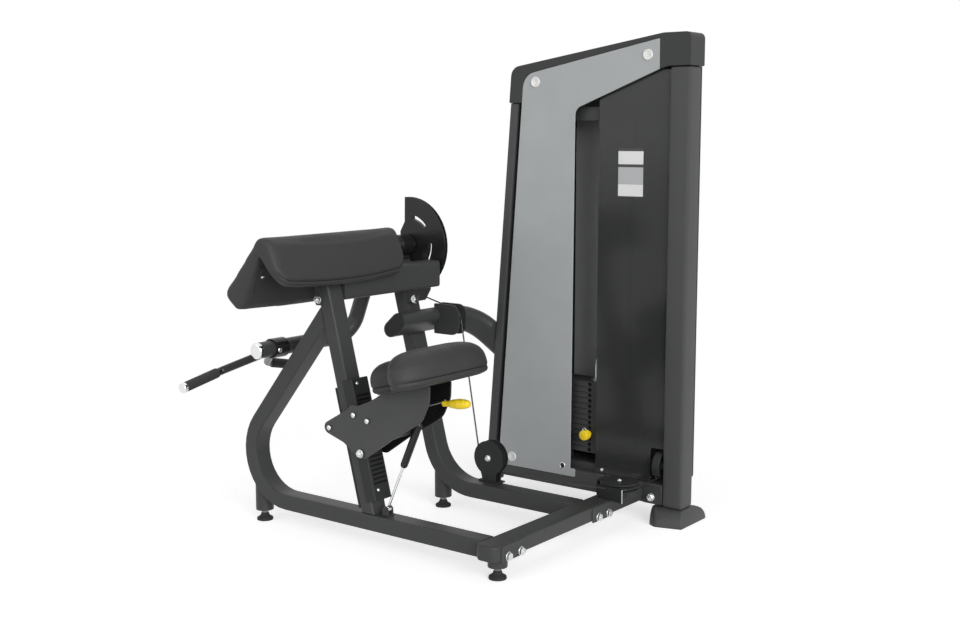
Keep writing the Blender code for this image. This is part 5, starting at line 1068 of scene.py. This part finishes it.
LEVER_EYE = (-0.423, 0.0, 0.393)
LEVER_BACK = (-0.200, 0.0, 0.4635)
LEVER_RING = ((0.0058, -0.0148), (0.0122, -0.0148), (0.0130, -0.0140), (0.0130, 0.0140),
              (0.0122, 0.0148), (0.0058, 0.0148))
PADDLE_START = (-0.180, 0.0, 0.4640)
PADDLE_END = (-0.087, 0.0, 0.4735)
PADDLE_STATIONS = ((0.00, 0.0060, 0.0065), (0.04, 0.0078, 0.0080), (0.16, 0.0080, 0.0078),
                   (0.44, 0.0125, 0.0126), (0.62, 0.0140, 0.0140), (0.80, 0.0130, 0.0130),
                   (0.93, 0.0110, 0.0105), (0.985, 0.0090, 0.0085), (1.00, 0.0060, 0.0055))


class CURL_OT_carriage(bpy.types.Operator):
    """Side plates, guide block, roller, release lever and gas spring under the seat"""
    bl_idname = "curl.carriage"
    bl_label = "Seat carriage"

    def execute(self, context):
        refined(("carriage_side_near",), "plate_paint", 0.0007)
        # The far side plate takes the near-black gloss paint, darker than the near plate's:
        # painted shade on its shaded inner face. The gas cylinder's gloss black is its own colour.
        refined(("carriage_side_far", "gas_cylinder"), "gloss_paint", 0.0007)
        refined(("carriage_block",), "frame_paint", 0.0015)
        refined(("front_roller",), "pulley_plastic", 0.0012)
        refined(("gas_rod",), "chrome", 0.0004)
        self.lever()
        return {"FINISHED"}

    def lever(self):
        """Steel rod with its eye, and a waisted moulded paddle with finger ribs."""
        eye, back = at(*LEVER_EYE), at(*LEVER_BACK)
        way = (back - eye).normalized()
        bm = bmesh.new()
        closed_lathe(bm, LEVER_RING, eye, (0, 1, 0), 36)
        reach = (back - eye).length + 0.030
        lathe(bm, ((0, 0.0110), (0.0043, 0.0110), (0.0043, reach), (0, reach)), eye, way, 16)
        rod = new_piece("release_lever_rod", bm, "dark_steel", "lever")
        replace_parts(rod, "release_lever")
        start, end = at(*PADDLE_START), at(*PADDLE_END)
        along = (end - start).normalized()
        up = Vector((-along.z, 0, along.x))
        rings = []
        for step in range(61):
            share = step / 60
            wide, thick = self.between_stations(share)
            if 0.50 < share < 0.84:
                thick += 0.0005 * math.cos((share - 0.50) / 0.34 * 2 * math.pi * 6)
            ring = []
            for spot in circle(28):
                flat = [math.copysign(abs(value) ** 0.72, value) for value in spot]
                ring.append(start + (end - start) * share + Vector((0, flat[0] * wide, 0))
                            + up * flat[1] * thick)
            rings.append(ring)
        bm = bmesh.new()
        loft(bm, rings)
        new_piece("release_lever_paddle", bm, "yellow_plastic", "lever", math.radians(50))

    def between_stations(self, share):
        """Half width and half thickness at a share of the paddle's length."""
        for first, second in zip(PADDLE_STATIONS, PADDLE_STATIONS[1:]):
            if share <= second[0]:
                part = (share - first[0]) / (second[0] - first[0])
                part = part * part * (3 - 2 * part)
                return tuple(a + (b - a) * part for a, b in zip(first[1:], second[1:]))
        return PADDLE_STATIONS[-1][1:]


# Swing arm

class CURL_OT_arm(bpy.types.Operator):
    """Swing arm with its cam and shaft, and the handle with its grips"""
    bl_idname = "curl.arm"
    bl_label = "Swing arm"

    def execute(self, context):
        refined(("swing_arm",), "frame_paint")
        refined(("cam_plate",), "gloss_paint", 0.0008)
        refined(("pivot_shaft",), "zinc", 0.0005)
        refined(("roll_tube_cap",), "chrome", 0.0012)
        refined(("handle_bar",), "gloss_paint", 0.0005)
        refined(("grip_near", "grip_far"), "grip_rubber", 0.0010)
        caps = bmesh.new()
        for name in ("grip_near", "grip_far"):
            end, way = self.grip_end(name)
            lathe(caps, ((0, 0.0103), (0.0129, 0.0103), (0.0129, CLEAR), (0.0163, CLEAR),
                         (0.0163, 0.0100), (0.0150, 0.0118), (0, 0.0118)), end, way, 36)
        new_piece("grip_caps", caps, "chrome", "handle")
        spot = [(at(-0.8058, -0.016, 0.5540), (0.99, 0, -0.11))]
        parts_on_points("handle_bolt", spot, button_bolt(0.0075), "zinc", "handle")
        return {"FINISHED"}

    def grip_end(self, name):
        """Middle of the grip's outer end, and the way out of it."""
        places = [vert.co for vert in NODES[name].data.vertices]
        middle = sum(places, Vector()) / len(places)
        outer = [place for place in places if abs(place.y - MACHINE.y) > abs(middle.y - MACHINE.y)]
        way = (sum(outer, Vector()) / len(outer) - middle).normalized()
        return middle + way * max((place - middle).dot(way) for place in places), way


# Pulleys and cable

PULLEYS = (
    ("upper_pulley", "upper_wheel", (-0.538, 0.500, 0.618), NEAR, 0.029),
    ("floor_pulley", "floor_wheel", (-0.372, 0.480, 0.185), NEAR, 0.045),
    ("corner_pulley", "corner_wheel", (0.046, 0.577, 0.140), UP, 0.050),
    ("tower_pulley", "tower_wheel", (0.096, 0.752, 0.176), (-1, 0, 0), 0.036),
    ("top_pulley_right", "top_wheel_right", (0.060, 0.788, 1.338), NEAR, 0.036),
    ("top_pulley_left", "top_wheel_left", (-0.134, 0.788, 1.338), NEAR, 0.036),
)
PULLEY_HALF = 0.0088
PULLEY_LIP = 0.0068
GROOVE_BOTTOM = 0.0027
BORE = 0.0064


class CURL_OT_pulleys(bpy.types.Operator):
    """Moulded pulleys with a round groove, a dished web and a bearing"""
    bl_idname = "curl.pulleys"
    bl_label = "Pulleys"

    def execute(self, context):
        for name, body, place, axis, pitch in PULLEYS:
            wheel = turned(name + "_moulded", self.profile(pitch), at(*place), axis,
                           "pulley_plastic", body, 72, math.radians(28), closed_lathe)
            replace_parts(wheel, name)
            bm = bmesh.new()
            for side in (-1, 1):
                low, high = sorted((side * (PULLEY_HALF - 0.0012), side * (PULLEY_HALF + 0.0003)))
                closed_lathe(bm, ((BORE, low), (0.0118, low), (0.0118, high), (BORE, high)),
                             at(*place), axis, 32)
            new_piece(name + "_bearing", bm, "zinc", body)
        return {"FINISHED"}

    def profile(self, pitch):
        rim = pitch + PULLEY_LIP
        half = [(BORE, PULLEY_HALF - 0.0013), (0.0120, PULLEY_HALF - 0.0013),
                (0.0120, PULLEY_HALF), (0.0155, PULLEY_HALF), (0.0170, PULLEY_HALF - 0.0030),
                (pitch - 0.0095, PULLEY_HALF - 0.0034), (pitch - 0.0075, PULLEY_HALF - 0.0004),
                (rim - 0.0012, PULLEY_HALF), (rim, PULLEY_HALF - 0.0012),
                (rim, PULLEY_HALF - 0.0026), (pitch + 0.0008, 0.0034)]
        for turn in (60, 30):
            half.append((pitch - GROOVE_BOTTOM * math.sin(math.radians(90 - turn)),
                         GROOVE_BOTTOM * math.sin(math.radians(turn))))
        half.append((pitch - GROOVE_BOTTOM, 0.0))
        return half + [(radius, -height) for radius, height in half[-2::-1]]


class CURL_OT_cable(bpy.types.Operator):
    """Sheathed steel cable"""
    bl_idname = "curl.cable"
    bl_label = "Cable"

    def execute(self, context):
        refined(("cable_run", "cable_drop"), "cable_sheath", 0, math.radians(80))
        return {"FINISHED"}


# Tower

BUTTONS = ((-0.3709, 1.3731), (0.0413, 1.4447), (-0.4597, 0.1285))
BUTTON_PROFILE = ((0, 0), (1, 0), (1, 0.0026), (0.94, 0.0036), (0.80, 0.0040), (0.74, 0.0037),
                  (0.70, 0.0027), (0.30, 0.0026), (0.27, 0.0012), (0, 0.0011))
EYELET_X = -0.2549
EYELET_Z = 0.129
EYELET = ((0.0082, 0), (0.0112, 0), (0.0112, 0.0016), (0.0104, 0.0024), (0.0088, 0.0020),
          (0.0082, 0.0012))
PLUG = ((0, 0), (0.0081, 0), (0.0081, 0.0008), (0.0040, 0.0008), (0.0040, 0.0004), (0, 0.0004))
BASE_LEVELS = ((0.00, 0.985), (0.03, 1.00), (0.12, 0.99), (0.28, 0.95), (0.44, 0.88),
               (0.60, 0.77), (0.74, 0.62), (0.86, 0.43), (0.94, 0.25), (0.985, 0.09), (1.0, 0.0))
SHROUD_RADIUS = 0.0475
SHROUD_WALL = 0.003
SHROUD_MIDDLE = (0.752, 0.176)
SHROUD_TURN = (80, 215)
SHROUD_X = (0.084, 0.109)
PLACARD = (-0.0676, 0.0211)
PLACARD_BLOCKS = ((1.0160, 1.0533, "placard_white"), (1.0533, 1.1059, "placard_grey"),
                  (1.1059, 1.1146, "placard_black"), (1.1146, 1.1553, "placard_white"),
                  (1.1553, 1.1639, "placard_black"))


class CURL_OT_tower(bpy.types.Operator):
    """Posts, head, front panel, smoked shield and back cover of the tower"""
    bl_idname = "curl.tower"
    bl_label = "Tower"

    def execute(self, context):
        refined(("tower_column", "tower_side_post", "tower_rail"), "tower_paint")
        self.base()
        self.shroud()
        self.painted_light_sheet()
        refined(("tower_head",), "head_paint", 0.0018)
        refined(("top_beam", "top_pulley_bracket", "stack_base"), "frame_paint")
        refined(("front_panel",), "panel_paint", 0.0009)
        refined(("shield",), "smoked", 0.0008)
        refined(("back_cover",), "black_plastic")
        refined(("guide_rod_left", "guide_rod_right"), "chrome", 0.0006)
        self.buttons(context.scene.curl_tower.button)
        self.placard()
        return {"FINISHED"}

    def base(self):
        """Cast foot that flares out under the column."""
        low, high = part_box("tower_base")
        height = high.z - low.z
        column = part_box("tower_column")
        left, right = column[0].x + 0.002, column[1].x
        front, back = column[0].y, column[1].y + 0.004
        upper = ((left - 0.002, front + 0.004), (left + 0.012, front - 0.002),
                 (right + 0.001, front - 0.002), (right + 0.001, back), (left - 0.002, back))
        lower = ((low.x - 0.008, low.y + 0.026), (low.x + 0.020, low.y + 0.008),
                 (high.x, low.y + 0.032), (high.x, high.y), (low.x - 0.008, high.y))
        rings = []
        for part, size in BASE_LEVELS:
            corners = [Vector(below).lerp(Vector(above), 1 - size)
                       for above, below in zip(upper, lower)]
            radii = [0.003 + 0.009 * size, 0.003 + 0.016 * size, 0.002 + 0.003 * size,
                     0.003 + 0.010 * size, 0.003 + 0.010 * size]
            rings.append([Vector((point.x, point.y, low.z + height * part))
                          for point in rounded(corners, radii, 6)])
        bm = bmesh.new()
        loft(bm, rings)
        base = new_piece("tower_base_cast", bm, "tower_paint", "frame", math.radians(40))
        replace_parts(base, "tower_base")

    def shroud(self):
        """Rounded cover over the front of the tower's lower pulley, closed at its foot."""
        inner = SHROUD_RADIUS - SHROUD_WALL
        y, z = SHROUD_MIDDLE
        first, last = SHROUD_TURN
        outline = []
        for radius, order in ((SHROUD_RADIUS, range(0, 13)), (inner, range(12, -1, -1))):
            for step in order:
                turn = math.radians(first + (last - first) * step / 12)
                outline.append(at(0, y + radius * math.cos(turn), z + radius * math.sin(turn)).yz)
        left, right = SHROUD_X
        bm = bmesh.new()
        prism(bm, outline, at(left, 0, 0).x, at(right, 0, 0).x, "FRONT")
        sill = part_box("tower_rail")[1].z + CLEAR
        for low, high, top in ((left - 0.030, right, 0.236), (left - 0.084, left - 0.0302, 0.150)):
            block(bm, at(low, 0.789, sill), at(high, 0.7915, top))
        cover = new_piece("tower_pulley_cover", bm, "black_plastic", "frame")
        rounding(cover, 0.0012)
        settled(cover)

    def painted_light_sheet(self):
        """Pale sheet on the inside of the back cover: painted light, far lighter than the black
        cover so that the tower's shaded inside looks lit.
        """
        low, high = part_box("back_cover")
        back = high.y - 0.0025 - CLEAR
        bm = bmesh.new()
        left, right = at(-0.305, 0, 0).x, at(0.100, 0, 0).x
        outline = rounded(((left, 0.150), (right, 0.150), (right, high.z - 0.008),
                           (left, high.z - 0.120)), 0.004, 3)
        prism(bm, outline, back - 0.0015, back)
        new_piece("cover_liner", bm, "liner_grey", "frame")

    def buttons(self, radius):
        """Round plastic caps over the panel's screws."""
        profile = [(radius * share, height) for share, height in BUTTON_PROFILE]
        part = turned("button_part", profile, (0, 0, 0), UP, "white_plastic", None, 40)
        face = front_of("front_panel") - CLEAR
        spots = [(at(x, face, z), NEAR) for x, z in BUTTONS]
        parts_on_points("panel_buttons", spots, part, "white_plastic", "frame")
        place = at(EYELET_X, face, EYELET_Z)
        turned("panel_eyelet", EYELET, place, NEAR, "zinc", "frame", 32, make=closed_lathe)
        turned("panel_plug", PLUG, place, NEAR, "black_plastic", "frame", 32)

    def placard(self):
        """Plain card of pale and dark blocks on the shield."""
        face = front_of("shield")
        for number, (low, high, finish) in enumerate(PLACARD_BLOCKS):
            bm = bmesh.new()
            block(bm, at(PLACARD[0], face - 0.0011, low + 0.0002),
                  at(PLACARD[1], face - CLEAR, high - 0.0002))
            new_piece("placard_%d" % number, bm, finish, "frame")


# Weight stack

STACK_X = -0.170
STACK_Y = 0.788
PLATE_SIZE = (0.300, 0.092)
RESTING_LOW = 0.180
LIFTED_LOW = 0.234
STACK_TOP = 0.4832
ROD_SPREAD = 0.115
ROD_HOLE = 0.0112
PIN_HOLE = 0.0066
PIN_Z = 0.2426
KNOB = ((0.7062, 0.0148), (0.7070, 0.0160), (0.7095, 0.0165), (0.7245, 0.0165),
        (0.7270, 0.0158), (0.7285, 0.0110), (0.7395, 0.0100))
KNOB_GRIP = (0.7095, 0.7245)        # depths between which the grip's flutes are cut


def cable_bore():
    """Radius of the bore that takes the cable while the stack is lifted past its end."""
    low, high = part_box("cable_drop")
    return (high.x - low.x) / 2 + 0.0008


class CURL_OT_stack(bpy.types.Operator):
    """Piles of cast plates, the lift stem and the selector pin"""
    bl_idname = "curl.stack"
    bl_label = "Weight stack"

    def execute(self, context):
        stack = context.scene.curl_stack
        self.pile("resting_pile", stack.resting, RESTING_LOW, "frame", "resting_plates")
        self.pile("lifted_pile", stack.lifted, LIFTED_LOW, "stack", "lifted_plates")
        top = LIFTED_LOW + stack.lifted * stack.pitch
        bore = cable_bore()
        stem = ((bore, top), (0.020, top), (0.020, top + 0.004), (0.0105, top + 0.008),
                (0.0105, STACK_TOP - 0.016), (0.0078, STACK_TOP - 0.013),
                (0.0078, STACK_TOP - 0.002), (0.0062, STACK_TOP), (bore, STACK_TOP))
        turned("lift_stem", stem, at(STACK_X, STACK_Y, 0), UP, "zinc", "stack", 32,
               make=closed_lathe)
        bm = bmesh.new()
        for side in (-1, 1):
            closed_lathe(bm, ((0.0108, top), (0.0175, top), (0.0175, top + 0.003),
                              (0.0140, top + 0.006), (0.0108, top + 0.006)),
                         at(STACK_X + side * ROD_SPREAD, STACK_Y, 0), UP, 32)
        new_piece("rod_bushings", bm, "black_plastic", "stack")
        self.selector_pin()
        return {"FINISHED"}

    def pile(self, name, count, low, body, node_name):
        stack = bpy.context.scene.curl_stack
        half_x, half_y = PLATE_SIZE[0] / 2, PLATE_SIZE[1] / 2
        corners = [(-half_x, -half_y), (half_x, -half_y), (half_x, half_y), (-half_x, half_y)]
        outline = [point + Vector((MACHINE.x + STACK_X, MACHINE.y + STACK_Y))
                   for point in rounded(corners, 0.010, 5)]
        bm = bmesh.new()
        prism(bm, outline, low, low + stack.thickness, "LEVEL")
        pile = new_piece(name, bm, "iron")
        holes = bmesh.new()
        for side in (-1, 1):
            self.drill(holes, at(STACK_X + side * ROD_SPREAD, STACK_Y, low), UP,
                       ROD_HOLE, 0.04, 24)
        self.drill(holes, at(STACK_X, STACK_Y, low), UP, cable_bore(), 0.04, 16)
        self.drill(holes, at(STACK_X, STACK_Y - half_y, PIN_Z - LIFTED_LOW + low), (0, 1, 0),
                   PIN_HOLE, half_y, 20)
        carved(pile, holes, use_self=True)
        rounding(pile, 0.0016, 2, math.radians(50))
        pile = grown(pile, "Pile of plates", "iron", Count=count, Pitch=stack.pitch)
        smoothed(pile.data, math.radians(30))
        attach(pile, body)
        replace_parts(pile, node_name)

    def drill(self, holes, place, axis, radius, depth, steps):
        profile = ((0, -0.01), (radius, -0.01), (radius, depth), (0, depth))
        lathe(holes, profile, place, axis, steps)

    def selector_pin(self):
        place = at(STACK_X, 0, PIN_Z)
        bm = bmesh.new()
        first, last = KNOB_GRIP
        loft(bm, [[place + Vector((math.cos(turn) * reach, depth, math.sin(turn) * reach))
                   for turn, reach in self.knurl(size, first <= depth <= last)]
                  for depth, size in KNOB])
        knob = new_piece("selector_knob", bm, "yellow_plastic", "pin", math.radians(50))
        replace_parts(knob, "selector_pin")
        bm = bmesh.new()
        lathe(bm, ((0, 0.7396), (0.0047, 0.7396), (0.0047, 0.780), (0.0030, 0.7825), (0, 0.7825)),
              place, (0, 1, 0), 20)
        hoop = [place + Vector((0.0062 * cos, 0.7130, 0.0185 + 0.0050 * sin))
                for cos, sin in circle(20)]
        tube_mesh(bm, hoop, 0.0010, 8, True)
        new_piece("selector_shank", bm, "chrome", "pin")

    def knurl(self, size, cut):
        """Angles and radii round the knob, with its grip's flutes where they are cut."""
        steps = 144
        for step in range(steps):
            depth = 0.0005 * (1 + math.cos(2 * math.pi * step / 6)) if cut else 0.0
            yield 2 * math.pi * step / steps, size - depth


# Screws and bolts

BAR_BOLTS = ((0.000, 0.070), (0.0586, 0.070), (0.459, 0.070), (0.516, 0.070))
FRAME_BOLTS = (
    ((0.0776, 0.7157, 0.0784), NEAR), ((-0.622, -0.0350, 0.726), NEAR),
    ((-0.641, 0.4276, 0.679), NEAR))
BUTTON_BOLTS = ((-0.567, 0.352), (-0.470, 0.402), (-0.417, 0.391))
JOINT_PLATE = 0.0022                # what stands between the cross bar and its bolts
CARRIAGE_FACE = -0.0552
GUIDE_BOLT = (-0.444, -0.0553, 0.292)
SHIELD_SCREW = (-0.115, 0.132)
FLOOR_AXLE = (-0.372, 0.185)
CORNER_AXLE = (0.046, 0.577)
RACK_SCREWS = (0.1655, -0.1500)     # along the rack from its middle
RACK_SLOTS = 21
RACK_PITCH = 0.013


class CURL_OT_fasteners(bpy.types.Operator):
    """Hexagon bolts, round head bolts and the pulleys' axle bolts"""
    bl_idname = "curl.fasteners"
    bl_label = "Fasteners"

    def execute(self, context):
        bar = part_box("cross_bar")[1].x - MACHINE.x + JOINT_PLATE
        floor = front_of("floor_pulley_bracket") - CLEAR
        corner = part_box("corner_pulley_bracket")[1].z + CLEAR
        for name, part, body, spots in (
                ("joint_bolts", hex_bolt(0.0205, 0.0085, 0.0130), "frame",
                 [((bar, y, z), (1, 0, 0)) for y, z in BAR_BOLTS] + list(FRAME_BOLTS)),
                ("axle_bolts", hex_bolt(0.016, 0.0068, 0.0105), "frame",
                 [((FLOOR_AXLE[0], floor, FLOOR_AXLE[1]), NEAR)]),
                ("corner_axle_bolt", hex_bolt(0.012, 0.0042, 0.0075), "frame",
                 [((*CORNER_AXLE, corner), UP)]),
                ("carriage_bolts", button_bolt(), "seat",
                 [((x, CARRIAGE_FACE, z), NEAR) for x, z in BUTTON_BOLTS]),
                ("guide_bolt", hex_bolt(), "seat", [(GUIDE_BOLT, NEAR)])):
            parts_on_points(name, [(at(*place), aim) for place, aim in spots], part, "zinc", body)
        self.rack()
        spot = at(SHIELD_SCREW[0], front_of("shield") - CLEAR, SHIELD_SCREW[1])
        parts_on_points("shield_screw", [(spot, NEAR)], button_bolt(0.0060, 0.0030), "zinc",
                        "frame")
        return {"FINISHED"}

    def rack(self):
        """Near-black bars at the rack's slots, painted shade standing for the slots' depth, and
        the screws at its two ends.
        """
        places = [vert.co for vert in NODES["adjust_rack"].data.vertices]
        rises = [place.dot(UP_POST) for place in places]
        middle = UP_POST * (min(rises) + max(rises)) / 2
        middle += OUT_POST * (max(place.dot(OUT_POST) for place in places) + CLEAR)
        middle.y = MACHINE.y
        bm = bmesh.new()
        # Near-black bar for each slot: painted shade in the slots.
        block(bm, (-0.0032, -0.0270, 0.0), (0.0032, 0.0270, 0.0005))
        bar = new_piece("rack_bar_part", bm, "thread")
        spots = [(middle + UP_POST * RACK_PITCH * (index - (RACK_SLOTS - 1) / 2), OUT_POST)
                 for index in range(RACK_SLOTS)]
        parts_on_points("rack_bars", spots, bar, "thread", "frame")
        spots = [(middle + UP_POST * rise + Vector((0, -0.015, 0)), OUT_POST)
                 for rise in RACK_SCREWS]
        parts_on_points("rack_screws", spots, button_bolt(0.0050, 0.0026), "zinc", "frame")


# Studio

LAMPS = (       # direction from the machine, share of the key light, width in degrees
    ("key", (0.86, -0.46, 0.24), 1.0, 45), ("front", (-0.20, -0.95, 0.26), 0.30, 60),
    ("top", (-0.20, 0.15, 0.95), 0.05, 60))
CAMERA_PLACE = (2.04, -2.7432, 1.2)
CAMERA_DOWN = 7.668
CAMERA_ROUND = 37.31
CAMERA_LENS = 48.47
CAMERA_SENSOR = 36.0


class CURL_OT_stage(bpy.types.Operator):
    """Pale floor, soft lamps, even white surroundings and the camera"""
    bl_idname = "curl.stage"
    bl_label = "Stage"

    def execute(self, context):
        stage = context.scene.curl_stage
        self.floor(stage)
        self.world(stage)
        for name, way, share, spread in LAMPS:
            self.lamp(name, way, stage.key * share, spread)
        self.camera()
        context.scene.view_settings.view_transform = "Standard"
        return {"FINISHED"}

    def floor(self, stage):
        bm = bmesh.new()
        bmesh.ops.create_grid(bm, x_segments=1, y_segments=1, size=40.0)
        floor = new_piece("floor", bm, "floor")

    def world(self, stage):
        world = bpy.data.worlds.new("studio")
        bpy.context.scene.world = world
        world.use_nodes = True
        tree = world.node_tree
        seen = tree.nodes["Background"]
        seen.inputs["Color"].default_value = (1, 1, 1, 1)
        seen.inputs["Strength"].default_value = stage.sky
        white = node(tree, "ShaderNodeBackground", (("Color", (1, 1, 1, 1)), ("Strength", 1.0)))
        path = node(tree, "ShaderNodeLightPath").outputs
        direct = maths(tree, "MAXIMUM", path["Is Camera Ray"], path["Is Transmission Ray"])
        both = maths(tree, "MAXIMUM", direct, path["Is Glossy Ray"])
        surface = blended(tree, both, seen.outputs[0], white.outputs[0])
        tree.links.new(surface, tree.nodes["World Output"].inputs["Surface"])

    def lamp(self, name, way, power, spread):
        """A soft far lamp in a direction from the machine."""
        light = bpy.data.lights.new(name, "SUN")
        light.angle = math.radians(spread)
        light.energy = power
        obj = bpy.data.objects.new(name, light)
        obj.location = Vector(way) * 5
        obj.rotation_euler = (-Vector(way)).to_track_quat("-Z", "Y").to_euler()
        bpy.context.scene.collection.objects.link(obj)

    def camera(self):
        data = bpy.data.cameras.new("camera")
        data.lens = CAMERA_LENS
        data.sensor_width = CAMERA_SENSOR
        camera = bpy.data.objects.new("camera", data)
        camera.location = at(*CAMERA_PLACE)
        camera.rotation_euler = (math.radians(90 - CAMERA_DOWN), 0.0, math.radians(CAMERA_ROUND))
        bpy.context.scene.collection.objects.link(camera)
        bpy.context.scene.camera = camera


class CURL_PT_panel(bpy.types.Panel):
    """Lists the settings and the steps"""
    bl_idname = "CURL_PT_panel"
    bl_label = "Curl Machine"
    bl_space_type = "VIEW_3D"
    bl_region_type = "UI"
    bl_category = "Curl Machine"

    def draw(self, context):
        column = self.layout.column()
        for step in STEPS:
            column.operator(step.bl_idname)
        for name in SETTINGS:
            group = getattr(context.scene, name)
            for label in group.__annotations__:
                column.prop(group, label)


SETTINGS = {"curl_frame": CurlFrameSettings, "curl_pads": CurlPadSettings,
            "curl_tower": CurlTowerSettings, "curl_stack": CurlStackSettings,
            "curl_stage": CurlStageSettings}
STEPS = (CURL_OT_frame, CURL_OT_feet, CURL_OT_arm_pad, CURL_OT_seat, CURL_OT_carriage,
         CURL_OT_arm, CURL_OT_pulleys, CURL_OT_cable, CURL_OT_tower, CURL_OT_stack,
         CURL_OT_fasteners, CURL_OT_stage)


def register():
    for group in SETTINGS.values():
        bpy.utils.register_class(group)
    for step in STEPS:
        bpy.utils.register_class(step)
    bpy.utils.register_class(CURL_PT_panel)
    for name, group in SETTINGS.items():
        setattr(bpy.types.Scene, name, PointerProperty(type=group))


def unregister():
    for name in SETTINGS:
        delattr(bpy.types.Scene, name)
    bpy.utils.unregister_class(CURL_PT_panel)
    for step in reversed(STEPS):
        bpy.utils.unregister_class(step)
    for group in SETTINGS.values():
        bpy.utils.unregister_class(group)


def main():
    register()
    make_finishes()
    make_trees()
    for step in STEPS:
        family, action = step.bl_idname.split(".")
        getattr(getattr(bpy.ops, family), action)()


if __name__ == "__main__":
    main()
